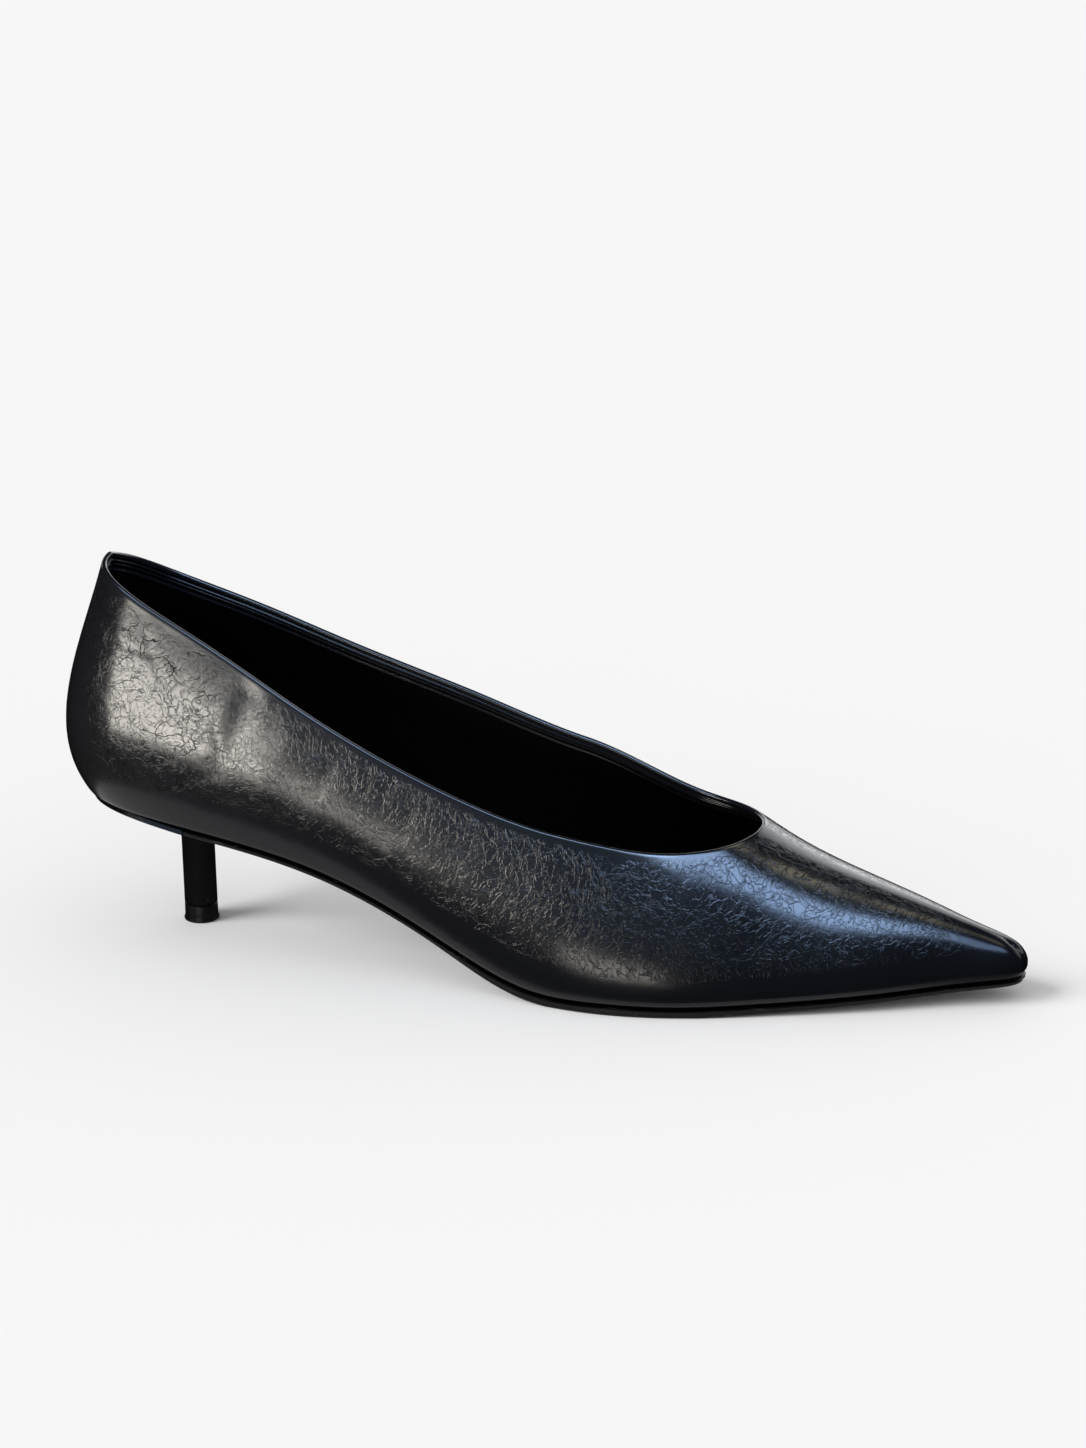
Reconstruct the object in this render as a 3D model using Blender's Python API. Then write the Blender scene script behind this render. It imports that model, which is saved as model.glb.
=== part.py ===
"""Kitten heel pump for the right foot: a low-cut pointed upper on a thin sole and a slim set-forward heel.

The upper, the insole, the outsole and the heel are all worked out from one last: a row of half sections that
stand on the shoe's axis, fan round the heel at the back and round the toe at the front. Lengths are metres,
+X points to the toe, +Y to the inner (medial) side and +Z up. The floor is z = 0, and the origin lies on it
under the middle of the heel's stem.
"""

import math

import bmesh
import bpy
import numpy as np
from mathutils import Vector

# Sizes of the last
SHOE_LENGTH = 0.2625  # back of the heel to the tip of the toe, along the floor
BALL_HALF_WIDTH = 0.037  # half of the sole's width at the ball
SEAT_RISE = 0.0370  # ball to the seat, in height
TOE_SPRING = 0.0050  # ball to the toe's tip, in height
ARCH_RAISE = 0.004  # how much higher the inner edge lies at the waist
BACK_HEIGHT = 0.066  # last's bottom to the collar at the back
VAMP_HEIGHT = 0.036  # last's bottom to the ridge at the throat

# Where the sections stand, and how they fan round the heel and the toe
HEEL_PIVOT_SHARE = 0.675  # heel back to the first section's foot, as a share of BALL_HALF_WIDTH
TOE_PIVOT_SHARE = 0.15  # toe tip to the last section's foot, as a share of BALL_HALF_WIDTH
HEEL_TURN = 0.22  # share of the way over which the sections fan at the heel
TOE_TURN = 0.08  # the same at the toe
TURN_POWER = 2.5
ARCH_PLACE = 0.40  # middle of the raised arch, as a share of SHOE_LENGTH
ARCH_SPREAD = 0.12

# The collar's front end
THROAT = 0.722  # place of the collar's front end
COLLAR_FULL = 0.52  # place where the collar starts to close towards the throat
THROAT_POWER = 2.5
VAULT_FROM = 0.3  # the collar crosses the vamp's vault above this share of its curve

# Thicknesses, edges and gaps
UPPER_WALL = 0.0016
FEATHER_INSIDE = 0.0008  # inside rounding where the upper turns under the last
LASTING_MARGIN = 0.010  # width of the upper's turned-in edge
MARGIN_SHARE = 0.75  # most of the half width that the turned-in edge may take
INSOLE_THICKNESS = 0.0024
INSOLE_TOE = 0.0010  # the insole where it is pared down at the toe's tip
INSOLE_EASE = 0.0006  # gap between the insole's edge and the upper
PARED_FROM = 0.78  # where the paring starts, as a share of SHOE_LENGTH
TREAD_THICKNESS = 0.0022  # outsole under the ball
WAIST_THICKNESS = 0.0011  # outsole under the arch and at the toe's tip, and the heel's rim
THINNED_FROM = 0.66  # where the outsole starts to thin towards the toe, as a share of SHOE_LENGTH
TREAD_FLAT = 0.0003  # how deep the outsole is cut flat where it stands on the floor
EDGE_INSET = 0.0004  # how far the outsole's edge lies inside the feather line
FIT = 0.0003  # gap between pieces that meet
FEATHER_RADIUS = UPPER_WALL + FEATHER_INSIDE
LAST_CLEARANCE = TREAD_THICKNESS + FIT - TREAD_FLAT  # floor to the last's bottom at the ball

# Heel
HEEL_AXIS = 0.0336  # heel back to the middle of the stem
STEM_HALF_LENGTH = 0.0045
STEM_HALF_WIDTH = 0.0043
HEEL_TUCK = 0.0014  # how much further in the heel's edge lies at the very back than at its front
BREAST_LEDGE = 0.0010  # stem's front to the heel's flat front
DISH_SWELL = 0.0014  # how much thicker the heel's dish is beside the stem than at its rim
NECK_REACH = 0.0050  # how far out the neck's fillet starts
NECK_DROP = 0.0070  # how far down it runs
NECK_LIMIT = 0.85  # most of the way to the rim that the fillet may take
TIP_HEIGHT = 0.0048
TIP_LIP = 0.0003  # flare at the foot of the heel tip

# Mesh steps
WALL_STEPS = 12
FEATHER_STEPS = 3
RIM_STEPS = 4
HEEL_STATIONS = 21
THROAT_STATIONS = 13
VAMP_STATIONS = 15
HEEL_SPREAD = 1.25
THROAT_SPREAD = 2.0
TOE_SPREAD = 1.25
SOLE_STATIONS = 46
SOLE_RINGS = (0.50, 0.85, 1.0)
SEAT_STATIONS = 12
SEAT_RINGS = (1 / 3, 2 / 3, 1.0)
BREAST_STATIONS = 8
BREAST_BEHIND = 0.5  # the heel's flat front lies behind this place
DISH_SHARES = (0.0, 0.5, 1.0)
NECK_STEPS = 5
BISECTION_END = 1e-9
SLOPE_STEP = 0.001  # half the stretch over which the bottom's slope is taken
SHARED_POINT = 0.0003  # points on the axis that are nearer than this share a vertex
SMOOTH_ANGLE = math.radians(40)

# The last's bottom seen from above: half widths as shares of BALL_HALF_WIDTH
OUTLINE = [
    {"place": 0.00, "outer": 0.55, "inner": 0.55},
    {"place": 0.07, "outer": 0.61, "inner": 0.61},
    {"place": 0.14, "outer": 0.67, "inner": 0.65},
    {"place": 0.24, "outer": 0.67, "inner": 0.63},
    {"place": 0.38, "outer": 0.72, "inner": 0.55},
    {"place": 0.50, "outer": 0.91, "inner": 0.66},
    {"place": 0.58, "outer": 1.01, "inner": 0.84},
    {"place": 0.66, "outer": 0.96, "inner": 0.96},
    {"place": 0.75, "outer": 0.76, "inner": 0.86},
    {"place": 0.85, "outer": 0.48, "inner": 0.57},
    {"place": 0.93, "outer": 0.23, "inner": 0.28},
    {"place": 1.00, "outer": 0.12, "inner": 0.12},
]

# The last's bottom seen from the side, with x as a share of SHOE_LENGTH: its height above the ball as a share
# of SEAT_RISE behind the ball and of TOE_SPRING ahead of it
BOTTOM = [
    {"along": 0.00, "rise": 1.010, "spring": 0.00},
    {"along": 0.08, "rise": 0.963, "spring": 0.00},
    {"along": 0.18, "rise": 0.850, "spring": 0.00},
    {"along": 0.30, "rise": 0.635, "spring": 0.00},
    {"along": 0.42, "rise": 0.285, "spring": 0.00},
    {"along": 0.52, "rise": 0.028, "spring": 0.00},
    {"along": 0.60, "rise": 0.004, "spring": 0.00},
    {"along": 0.66, "rise": 0.000, "spring": 0.01},
    {"along": 0.76, "rise": 0.000, "spring": 0.15},
    {"along": 0.88, "rise": 0.000, "spring": 0.48},
    {"along": 1.00, "rise": 0.000, "spring": 1.00},
]

# The collar: heights above the last's bottom as shares of BACK_HEIGHT, half openings as shares of
# BALL_HALF_WIDTH, and the wall's lean there in degrees above the horizontal
COLLAR = [
    {"place": 0.00, "outer": 0.985, "inner": 0.985, "open_outer": 0.36, "open_inner": 0.36, "lean": 74},
    {"place": 0.06, "outer": 0.947, "inner": 0.915, "open_outer": 0.41, "open_inner": 0.40, "lean": 74},
    {"place": 0.12, "outer": 0.878, "inner": 0.830, "open_outer": 0.48, "open_inner": 0.50, "lean": 75},
    {"place": 0.20, "outer": 0.754, "inner": 0.751, "open_outer": 0.51, "open_inner": 0.59, "lean": 73},
    {"place": 0.30, "outer": 0.614, "inner": 0.704, "open_outer": 0.54, "open_inner": 0.62, "lean": 71},
    {"place": 0.42, "outer": 0.588, "inner": 0.750, "open_outer": 0.59, "open_inner": 0.60, "lean": 68},
    {"place": 0.54, "outer": 0.616, "inner": 0.741, "open_outer": 0.67, "open_inner": 0.65, "lean": 62},
    {"place": 0.64, "outer": 0.527, "inner": 0.609, "open_outer": 0.72, "open_inner": 0.74, "lean": 57},
    {"place": 0.75, "outer": 0.480, "inner": 0.480, "open_outer": 0.77, "open_inner": 0.78, "lean": 52},
]

# The ridge over the vamp and, open behind the throat, over the instep: height above the last's bottom as a
# share of VAMP_HEIGHT
RIDGE = [
    {"place": 0.52, "height": 1.72},
    {"place": 0.68, "height": 1.273},
    {"place": 0.74, "height": 0.986},
    {"place": 0.81, "height": 0.739},
    {"place": 0.88, "height": 0.533},
    {"place": 0.95, "height": 0.316},
    {"place": 1.00, "height": 0.220},
]

# The wall's swell: its angle at the feather line in degrees, and how full it is low and high
WALL = [
    {"place": 0.00, "angle": 52, "low": 0.32, "high": 0.34},
    {"place": 0.14, "angle": 70, "low": 0.38, "high": 0.36},
    {"place": 0.30, "angle": 76, "low": 0.36, "high": 0.38},
    {"place": 0.50, "angle": 80, "low": 0.28, "high": 0.38},
    {"place": 0.66, "angle": 84, "low": 0.18, "high": 0.42},
    {"place": 0.80, "angle": 84, "low": 0.22, "high": 0.44},
    {"place": 1.00, "angle": 76, "low": 0.36, "high": 0.42},
]

MATERIALS = {
    "upper": {"name": "black_leather", "colour": (0.018, 0.018, 0.019), "roughness": 0.38},
    "insole": {"name": "black_lining", "colour": (0.020, 0.020, 0.020), "roughness": 0.60},
    "outsole": {"name": "sole_rubber", "colour": (0.022, 0.022, 0.022), "roughness": 0.55},
    "heel": {"name": "heel_lacquer", "colour": (0.010, 0.010, 0.010), "roughness": 0.12},
    "heel_tip": {"name": "tip_rubber", "colour": (0.020, 0.020, 0.020), "roughness": 0.50},
}

OUTER_SIDE, INNER_SIDE = -1, 1


def spline(rows, key, column, at):
    """Reads a column of a table at a value of its key, on a natural cubic through the rows."""
    xs = np.array([row[key] for row in rows], float)
    ys = np.array([row[column] for row in rows], float)
    count, step = len(xs), np.diff(xs)
    matrix, bend = np.zeros((count, count)), np.zeros(count)
    matrix[0, 0] = matrix[-1, -1] = 1.0
    for i in range(1, count - 1):
        matrix[i, i - 1 : i + 2] = step[i - 1], 2 * (step[i - 1] + step[i]), step[i]
        bend[i] = 6 * ((ys[i + 1] - ys[i]) / step[i] - (ys[i] - ys[i - 1]) / step[i - 1])
    second = np.linalg.solve(matrix, bend)
    i = int(np.clip(np.searchsorted(xs, at) - 1, 0, count - 2))
    before, after = at - xs[i], xs[i + 1] - at
    return float(
        (second[i] * after**3 + second[i + 1] * before**3) / (6 * step[i])
        + (ys[i] / step[i] - second[i] * step[i] / 6) * after
        + (ys[i + 1] / step[i] - second[i + 1] * step[i] / 6) * before
    )


def clamp(value, low=0.0, high=1.0):
    return min(max(value, low), high)


def ease(share):
    """Runs smoothly from 0 to 1 as a share does."""
    return clamp(share) ** 2 * (3 - 2 * clamp(share))


def section_foot(place):
    """Where a section stands on the axis: x from the heel back, and the cosine and sine of its direction."""
    first = HEEL_PIVOT_SHARE * BALL_HALF_WIDTH
    last = SHOE_LENGTH - TOE_PIVOT_SHARE * BALL_HALF_WIDTH
    pace = (last - first) / (1 - (HEEL_TURN + TOE_TURN) / 2)
    heel, toe = clamp(place / HEEL_TURN), clamp((1 - place) / TOE_TURN)
    straight = clamp(place - HEEL_TURN, 0.0, 1 - HEEL_TURN - TOE_TURN)
    x = first + pace * (
        HEEL_TURN * (heel**3 - heel**4 / 2) + straight + TOE_TURN * (0.5 - toe**3 + toe**4 / 2)
    )
    turn = math.pi / 2 * (1 + (1 - heel) ** TURN_POWER - (1 - toe) ** TURN_POWER)
    return x, math.cos(turn), math.sin(turn)


def section_point(place, side, reach):
    """A point at a distance from the axis along a section, seen from above."""
    foot, ahead, across = section_foot(place)
    return foot + reach * ahead, side * reach * across


def last_bottom(x, y):
    """Height of the last's bottom at a point, with x from the heel back."""
    along = clamp(x / SHOE_LENGTH)
    arch = ARCH_RAISE * math.exp(-(((along - ARCH_PLACE) / ARCH_SPREAD) ** 2))
    return (
        LAST_CLEARANCE
        + spline(BOTTOM, "along", "rise", along) * SEAT_RISE
        + spline(BOTTOM, "along", "spring", along) * TOE_SPRING
        + arch * clamp(y / BALL_HALF_WIDTH) ** 2
    )


def off_bottom(x, y, distance):
    """Height of a surface that lies off the sloping bottom by a distance, upwards if it is positive."""
    slope = (last_bottom(x + SLOPE_STEP, y) - last_bottom(x - SLOPE_STEP, y)) / (2 * SLOPE_STEP)
    return last_bottom(x, y) + distance * math.sqrt(1 + slope**2)


def feather_reach(place, side):
    """Half width of the last's bottom along a section."""
    return spline(OUTLINE, "place", "outer" if side == OUTER_SIDE else "inner", place) * BALL_HALF_WIDTH


def collar_share(place):
    """1 where the collar is fully open, 0 at the throat and ahead of it."""
    closing = clamp((place - COLLAR_FULL) / (THROAT - COLLAR_FULL))
    return math.sqrt(1 - closing**THROAT_POWER)


def bezier(start, low, high, end, t):
    """Points of a cubic curve from start to end, drawn towards its two inner points."""
    t = np.asarray(t, float)[..., None]
    return (1 - t) ** 3 * start + 3 * (1 - t) ** 2 * t * low + 3 * (1 - t) * t**2 * high + t**3 * end


def wall_pulls(place, start, angle, end, lean):
    """The two inner points of a wall curve that leaves the feather line at an angle and leans at its top."""
    chord = float(np.linalg.norm(end - start))
    low = start + spline(WALL, "place", "low", place) * chord * np.array([math.cos(angle), math.sin(angle)])
    high = end + spline(WALL, "place", "high", place) * chord * np.array([math.cos(lean), -math.sin(lean)])
    return low, high


def collar_reach(place, side):
    """Distance from the axis to the collar along a section."""
    name = "open_outer" if side == OUTER_SIDE else "open_inner"
    return spline(COLLAR, "place", name, place) * BALL_HALF_WIDTH * collar_share(place)


def side_curve(place, side, start, angle, share):
    """The free wall of the quarter, from the feather line to the collar."""
    name = "outer" if side == OUTER_SIDE else "inner"
    floor = last_bottom(section_foot(place)[0], 0.0)
    end = np.array([
        collar_reach(place, side),
        floor + spline(COLLAR, "place", name, place) * BACK_HEIGHT,
    ])
    lean = math.radians(spline(COLLAR, "place", "lean", place))
    low, high = wall_pulls(place, start, angle, end, lean)
    return bezier(start, low, high, end, share)


def vault_curve(place, side, start, angle, share):
    """The vamp's vault from the feather line to the ridge, cut off where the collar crosses it."""
    floor = last_bottom(section_foot(place)[0], 0.0)
    end = np.array([0.0, floor + spline(RIDGE, "place", "height", place) * VAMP_HEIGHT])
    low, high = wall_pulls(place, start, angle, end, 0.0)
    reach = collar_reach(place, side) if place < THROAT else 0.0
    below, above = VAULT_FROM, 1.0
    while above - below > BISECTION_END:
        middle = (below + above) / 2
        if bezier(start, low, high, end, middle)[0] > reach:
            below = middle
        else:
            above = middle
    return bezier(start, low, high, end, share * above)


def wall_curve(place, side):
    """The wall's outer face along one section, as (distance from the axis, height) from feather to top."""
    reach = feather_reach(place, side)
    angle = math.radians(spline(WALL, "place", "angle", place))
    corner = last_bottom(*section_point(place, side, reach - FEATHER_RADIUS * math.sin(angle)))
    start = np.array([reach, corner + FEATHER_RADIUS * (1 - math.cos(angle))])
    share = np.linspace(0, 1, WALL_STEPS + 1)
    if place <= COLLAR_FULL:
        return side_curve(place, side, start, angle, share)
    vault = vault_curve(place, side, start, angle, share)
    if place >= THROAT:
        return vault
    blend = ease((place - COLLAR_FULL) / (THROAT - COLLAR_FULL))
    return (1 - blend) * side_curve(place, side, start, angle, share) + blend * vault


def margin_curve(place, side):
    """The turned-in edge under the last and the rounding at the feather line, up to the wall."""
    reach = feather_reach(place, side)
    angle = math.radians(spline(WALL, "place", "angle", place))
    corner = reach - FEATHER_RADIUS * math.sin(angle)
    edge = reach - min(LASTING_MARGIN, MARGIN_SHARE * reach)
    feather = last_bottom(*section_point(place, side, corner))
    points = []
    for r in (edge, (edge + corner) / 2):
        points.append((r, last_bottom(*section_point(place, side, r))))
    for step in range(FEATHER_STEPS):
        sweep = angle * step / FEATHER_STEPS
        height = feather + FEATHER_RADIUS * (1 - math.cos(sweep))
        points.append((corner + FEATHER_RADIUS * math.sin(sweep), height))
    return np.array(points)


def section_points(place, side):
    """The upper's outer face at one section, in the shoe's frame."""
    points = []
    for r, z in np.vstack([margin_curve(place, side), wall_curve(place, side)]):
        x, y = section_point(place, side, r)
        points.append((x - HEEL_AXIS, y, z))
    return points


def upper_places():
    """Places of the upper's sections, closer together at the heel back, the throat and the toe."""
    heel = COLLAR_FULL * np.linspace(0, 1, HEEL_STATIONS + 1) ** HEEL_SPREAD
    closing = 1 - (1 - np.linspace(0, 1, THROAT_STATIONS + 1)[1:]) ** THROAT_SPREAD
    toe = 1 - (1 - np.linspace(0, 1, VAMP_STATIONS + 1)[1:]) ** TOE_SPREAD
    return [
        *heel,
        *(COLLAR_FULL + (THROAT - COLLAR_FULL) * closing),
        *(THROAT + (1 - THROAT) * toe),
    ]


def sole_places():
    """Places of the sole's sections, closer together at both ends."""
    return list((1 - np.cos(np.pi * np.linspace(0, 1, SOLE_STATIONS + 1))) / 2)


def once_round(places):
    """Sections once round the shoe: along the outer side to the toe, and back along the inner side."""
    there = [(place, OUTER_SIDE) for place in places]
    back = [(place, INNER_SIDE) for place in places[-2:0:-1]]
    return there + back


def shared_row(bm, points):
    """A row of vertices in which points that coincide, or nearly, share one."""
    made, row = [], []
    for point in points:
        place = Vector(point)
        near = [vertex for vertex in made if (vertex.co - place).length < SHARED_POINT]
        if not near:
            near = [bm.verts.new(place)]
            made.append(near[0])
        row.append(near[0])
    return row


def join_rows(bm, first, second):
    """Faces between two closed rows of vertices; where corners are shared, a quad becomes a triangle."""
    for i in range(len(first)):
        corners = [first[i - 1], first[i], second[i], second[i - 1]]
        corners = list(dict.fromkeys(corners))
        if len(corners) > 2:
            bm.faces.new(corners)


def rim_rows(bm, outside, inside):
    """The collar's half-round edge: rows of vertices from the wall's outer face over to its inner face."""
    rows = [outside]
    count = len(outside)
    for step in range(1, RIM_STEPS):
        sweep = math.pi * step / RIM_STEPS
        row = []
        for i in range(count):
            along = outside[(i + 1) % count].co - outside[i - 1].co
            across = (outside[i].co - inside[i].co) / 2
            middle = (outside[i].co + inside[i].co) / 2
            up = across.cross(along).normalized() * across.length
            row.append(bm.verts.new(middle + math.cos(sweep) * across + math.sin(sweep) * up))
        rows.append(row)
    return [*rows, inside]


def make_upper(material):
    """One hollow wall: turned in under the last, open at the collar and underneath."""
    bm = bmesh.new()
    ring = once_round(upper_places())
    columns = [section_points(place, side) for place, side in ring]
    rows = [[bm.verts.new(column[j]) for column in columns] for j in range(len(columns[0]) - 1)]
    rows.append(shared_row(bm, [column[-1] for column in columns]))
    for lower, higher in zip(rows, rows[1:]):
        join_rows(bm, lower, higher)
    bmesh.ops.recalc_face_normals(bm, faces=bm.faces)
    bm.normal_update()
    inner = {vertex: bm.verts.new(vertex.co - vertex.normal * UPPER_WALL) for vertex in list(bm.verts)}
    for face in list(bm.faces):
        bm.faces.new([inner[vertex] for vertex in reversed(face.verts)])
    throat = next(i for i, (place, _) in enumerate(ring) if place >= THROAT)
    collar = [i for i, (place, _) in enumerate(ring) if place < THROAT or i == throat]
    collar_row = [rows[-1][i] for i in collar]
    rims = rim_rows(bm, collar_row, [inner[vertex] for vertex in collar_row])
    for outer_row, inner_row in zip(rims, rims[1:]):
        join_rows(bm, outer_row, inner_row)
    join_rows(bm, rows[0], [inner[vertex] for vertex in rows[0]])
    return finish(bm, "upper", material)


def plate_row(bm, ring, inset, share, height):
    """One row of a plate's vertices, at a share of the way from the axis to its edge."""
    points = []
    for place, side in ring:
        x, y = section_point(place, side, share * (feather_reach(place, side) - inset))
        points.append((x - HEEL_AXIS, y, height(x, y)))
    return shared_row(bm, points)


def make_plate(inset, top, bottom):
    """A thin closed plate inside the feather line, between two height functions."""
    bm = bmesh.new()
    ring = once_round(sole_places())
    edges = []
    for height in (top, bottom):
        rows = [plate_row(bm, ring, inset, share, height) for share in (0.0, *SOLE_RINGS)]
        for first, second in zip(rows, rows[1:]):
            join_rows(bm, first, second)
        edges.append(rows[-1])
    join_rows(bm, *edges)
    return bm


def insole_inset():
    """How far inside the feather line the insole clears the upper's inner rounding."""
    rounding = math.sqrt(max(FEATHER_INSIDE**2 - (FEATHER_INSIDE - FIT) ** 2, 0.0))
    return FEATHER_RADIUS - rounding + INSOLE_EASE


def insole_thickness(x):
    """Thickness of the insole, pared down towards the toe."""
    pared = clamp((x / SHOE_LENGTH - PARED_FROM) / (1 - PARED_FROM))
    return INSOLE_THICKNESS + (INSOLE_TOE - INSOLE_THICKNESS) * pared


def make_insole(material):
    """The plate that the foot stands on, on the upper's turned-in edge."""

    def top(x, y):
        return off_bottom(x, y, UPPER_WALL + FIT + insole_thickness(x))

    def bottom(x, y):
        return off_bottom(x, y, UPPER_WALL + FIT)

    return finish(make_plate(insole_inset(), top, bottom), "insole", material)


def breast_x():
    """The heel's flat front, from the heel back."""
    return HEEL_AXIS + STEM_HALF_LENGTH + BREAST_LEDGE


def outsole_thickness(x):
    """Thickness of the outsole, eased from the waist to the tread and thinned again towards the toe."""
    share = ease((x / SHOE_LENGTH - ARCH_PLACE) / ARCH_SPREAD)
    thinned = clamp((x / SHOE_LENGTH - THINNED_FROM) / (1 - THINNED_FROM))
    return WAIST_THICKNESS + (TREAD_THICKNESS - WAIST_THICKNESS) * share * (1 - thinned)


def make_outsole(material):
    """The sole from the heel's front to the toe, cut flat where it stands on the floor."""

    def top(x, y):
        return off_bottom(x, y, -FIT)

    def bottom(x, y):
        return max(off_bottom(x, y, -FIT - outsole_thickness(x)), 0.0)

    bm = make_plate(EDGE_INSET, top, bottom)
    cut = breast_x() + FIT - HEEL_AXIS
    whole = [*bm.verts, *bm.edges, *bm.faces]
    sliced = bmesh.ops.bisect_plane(
        bm, geom=whole, plane_co=(cut, 0, 0), plane_no=(1, 0, 0), clear_inner=True
    )
    rim = [item for item in sliced["geom_cut"] if isinstance(item, bmesh.types.BMEdge)]
    bmesh.ops.contextual_create(bm, geom=rim)
    return finish(bm, "outsole", material)


def breast_place(side):
    """Place of the section whose edge lies on the heel's flat front."""
    low, high = 0.0, BREAST_BEHIND
    while high - low > BISECTION_END:
        middle = (low + high) / 2
        x, _ = section_point(middle, side, feather_reach(middle, side) - EDGE_INSET)
        if x < breast_x():
            low = middle
        else:
            high = middle
    return low


def seat_edge():
    """The heel's edge seen from above: round the back from one breast corner to the other, then across."""
    shares = np.linspace(1, 0, SEAT_STATIONS + 1)
    stations = [(share, OUTER_SIDE) for share in shares] + [(share, INNER_SIDE) for share in shares[-2::-1]]
    points = []
    for share, side in stations:
        place = share * breast_place(side)
        inset = EDGE_INSET + HEEL_TUCK * (1 - share**2)
        points.append(section_point(place, side, feather_reach(place, side) - inset))
    first, last = points[0], points[-1]
    for step in range(1, BREAST_STATIONS):
        share = step / BREAST_STATIONS
        points.append((breast_x(), last[1] + (first[1] - last[1]) * share))
    return points


def stem_point(edge, grow=0.0):
    """Point of the stem's round outline that faces a point of the heel's edge."""
    turn = math.atan2(edge[1] / STEM_HALF_WIDTH, (edge[0] - HEEL_AXIS) / STEM_HALF_LENGTH)
    return (
        HEEL_AXIS + (STEM_HALF_LENGTH + grow) * math.cos(turn),
        (STEM_HALF_WIDTH + grow) * math.sin(turn),
    )


def dish_column(edge):
    """The heel's underside below one point of its edge: rim, dish, neck and the stem down to its foot."""
    stem = stem_point(edge)
    gap = math.dist(edge, stem)
    reach = min(NECK_REACH, NECK_LIMIT * gap)
    points = []
    for share in DISH_SHARES:
        out = gap + (reach - gap) * share
        x = stem[0] + (edge[0] - stem[0]) * out / gap
        y = stem[1] + (edge[1] - stem[1]) * out / gap
        thickness = WAIST_THICKNESS + DISH_SWELL * share * (gap - reach) / gap
        points.append((x, y, off_bottom(x, y, -FIT - thickness)))
    start = points[-1][2]
    for step in range(1, NECK_STEPS + 1):
        sweep = math.pi / 2 * step / NECK_STEPS
        out = reach * (1 - math.sin(sweep)) / gap
        x, y = stem[0] + (edge[0] - stem[0]) * out, stem[1] + (edge[1] - stem[1]) * out
        points.append((x, y, start - NECK_DROP * (1 - math.cos(sweep))))
    points.append((*stem, TIP_HEIGHT + FIT))
    return points


def make_heel(material):
    """A thin dish under the seat that runs down into a slim round stem at its front."""
    bm = bmesh.new()
    edge = seat_edge()
    rows = []
    for share in SEAT_RINGS:
        row = []
        for x, y in edge:
            px, py = HEEL_AXIS + (x - HEEL_AXIS) * share, y * share
            row.append(bm.verts.new((px - HEEL_AXIS, py, off_bottom(px, py, -FIT))))
        rows.append(row)
    columns = [dish_column(point) for point in edge]
    for j in range(len(columns[0])):
        rows.append([bm.verts.new((x - HEEL_AXIS, y, z)) for x, y, z in (column[j] for column in columns)])
    for first, second in zip(rows, rows[1:]):
        join_rows(bm, first, second)
    middle = bm.verts.new((0, 0, off_bottom(HEEL_AXIS, 0, -FIT)))
    join_rows(bm, rows[0], [middle] * len(edge))
    bm.faces.new(rows[-1])
    return finish(bm, "heel", material)


def make_heel_tip(material):
    """The replaceable pad under the stem, with a slight flare at its foot."""
    bm = bmesh.new()
    edge = seat_edge()
    rows = []
    for height, grow in ((TIP_HEIGHT, 0.0), (TIP_LIP, TIP_LIP), (0.0, TIP_LIP)):
        outline = [stem_point(point, grow) for point in edge]
        rows.append([bm.verts.new((x - HEEL_AXIS, y, height)) for x, y in outline])
    for first, second in zip(rows, rows[1:]):
        join_rows(bm, first, second)
    bm.faces.new(rows[0])
    bm.faces.new(rows[-1])
    return finish(bm, "heel_tip", material)


def finish(bm, name, material):
    """Turns a mesh into a smooth-shaded object of its own."""
    bmesh.ops.recalc_face_normals(bm, faces=bm.faces)
    mesh = bpy.data.meshes.new(name)
    bm.to_mesh(mesh)
    bm.free()
    mesh.shade_smooth()
    mesh.set_sharp_from_angle(angle=SMOOTH_ANGLE)
    mesh.materials.append(material)
    piece = bpy.data.objects.new(name, mesh)
    bpy.context.collection.objects.link(piece)
    return piece


def make_material(piece):
    """The plain material of one piece, in one colour."""
    look = MATERIALS[piece]
    material = bpy.data.materials.new(look["name"])
    material.use_nodes = True
    shader = material.node_tree.nodes["Principled BSDF"]
    shader.inputs["Base Color"].default_value = (*look["colour"], 1.0)
    shader.inputs["Roughness"].default_value = look["roughness"]
    shader.inputs["Metallic"].default_value = 0.0
    return material


def clear_scene():
    for item in list(bpy.data.objects):
        bpy.data.objects.remove(item)


def main():
    clear_scene()
    make_upper(make_material("upper"))
    make_insole(make_material("insole"))
    make_outsole(make_material("outsole"))
    make_heel(make_material("heel"))
    make_heel_tip(make_material("heel_tip"))


main()
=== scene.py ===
"""Looks of the kitten heel pump: crackled black leather, black lining, thin sole and a glossy slim heel.

The surfaces follow the same half sections as the solids, with finer steps. Lengths are metres, +X points to
the toe, +Y to the inner side and +Z up, and the origin lies on the floor under the middle of the heel's stem.
"""

import math

import bmesh
import bpy
import numpy as np
from mathutils import Matrix, Vector


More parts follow.
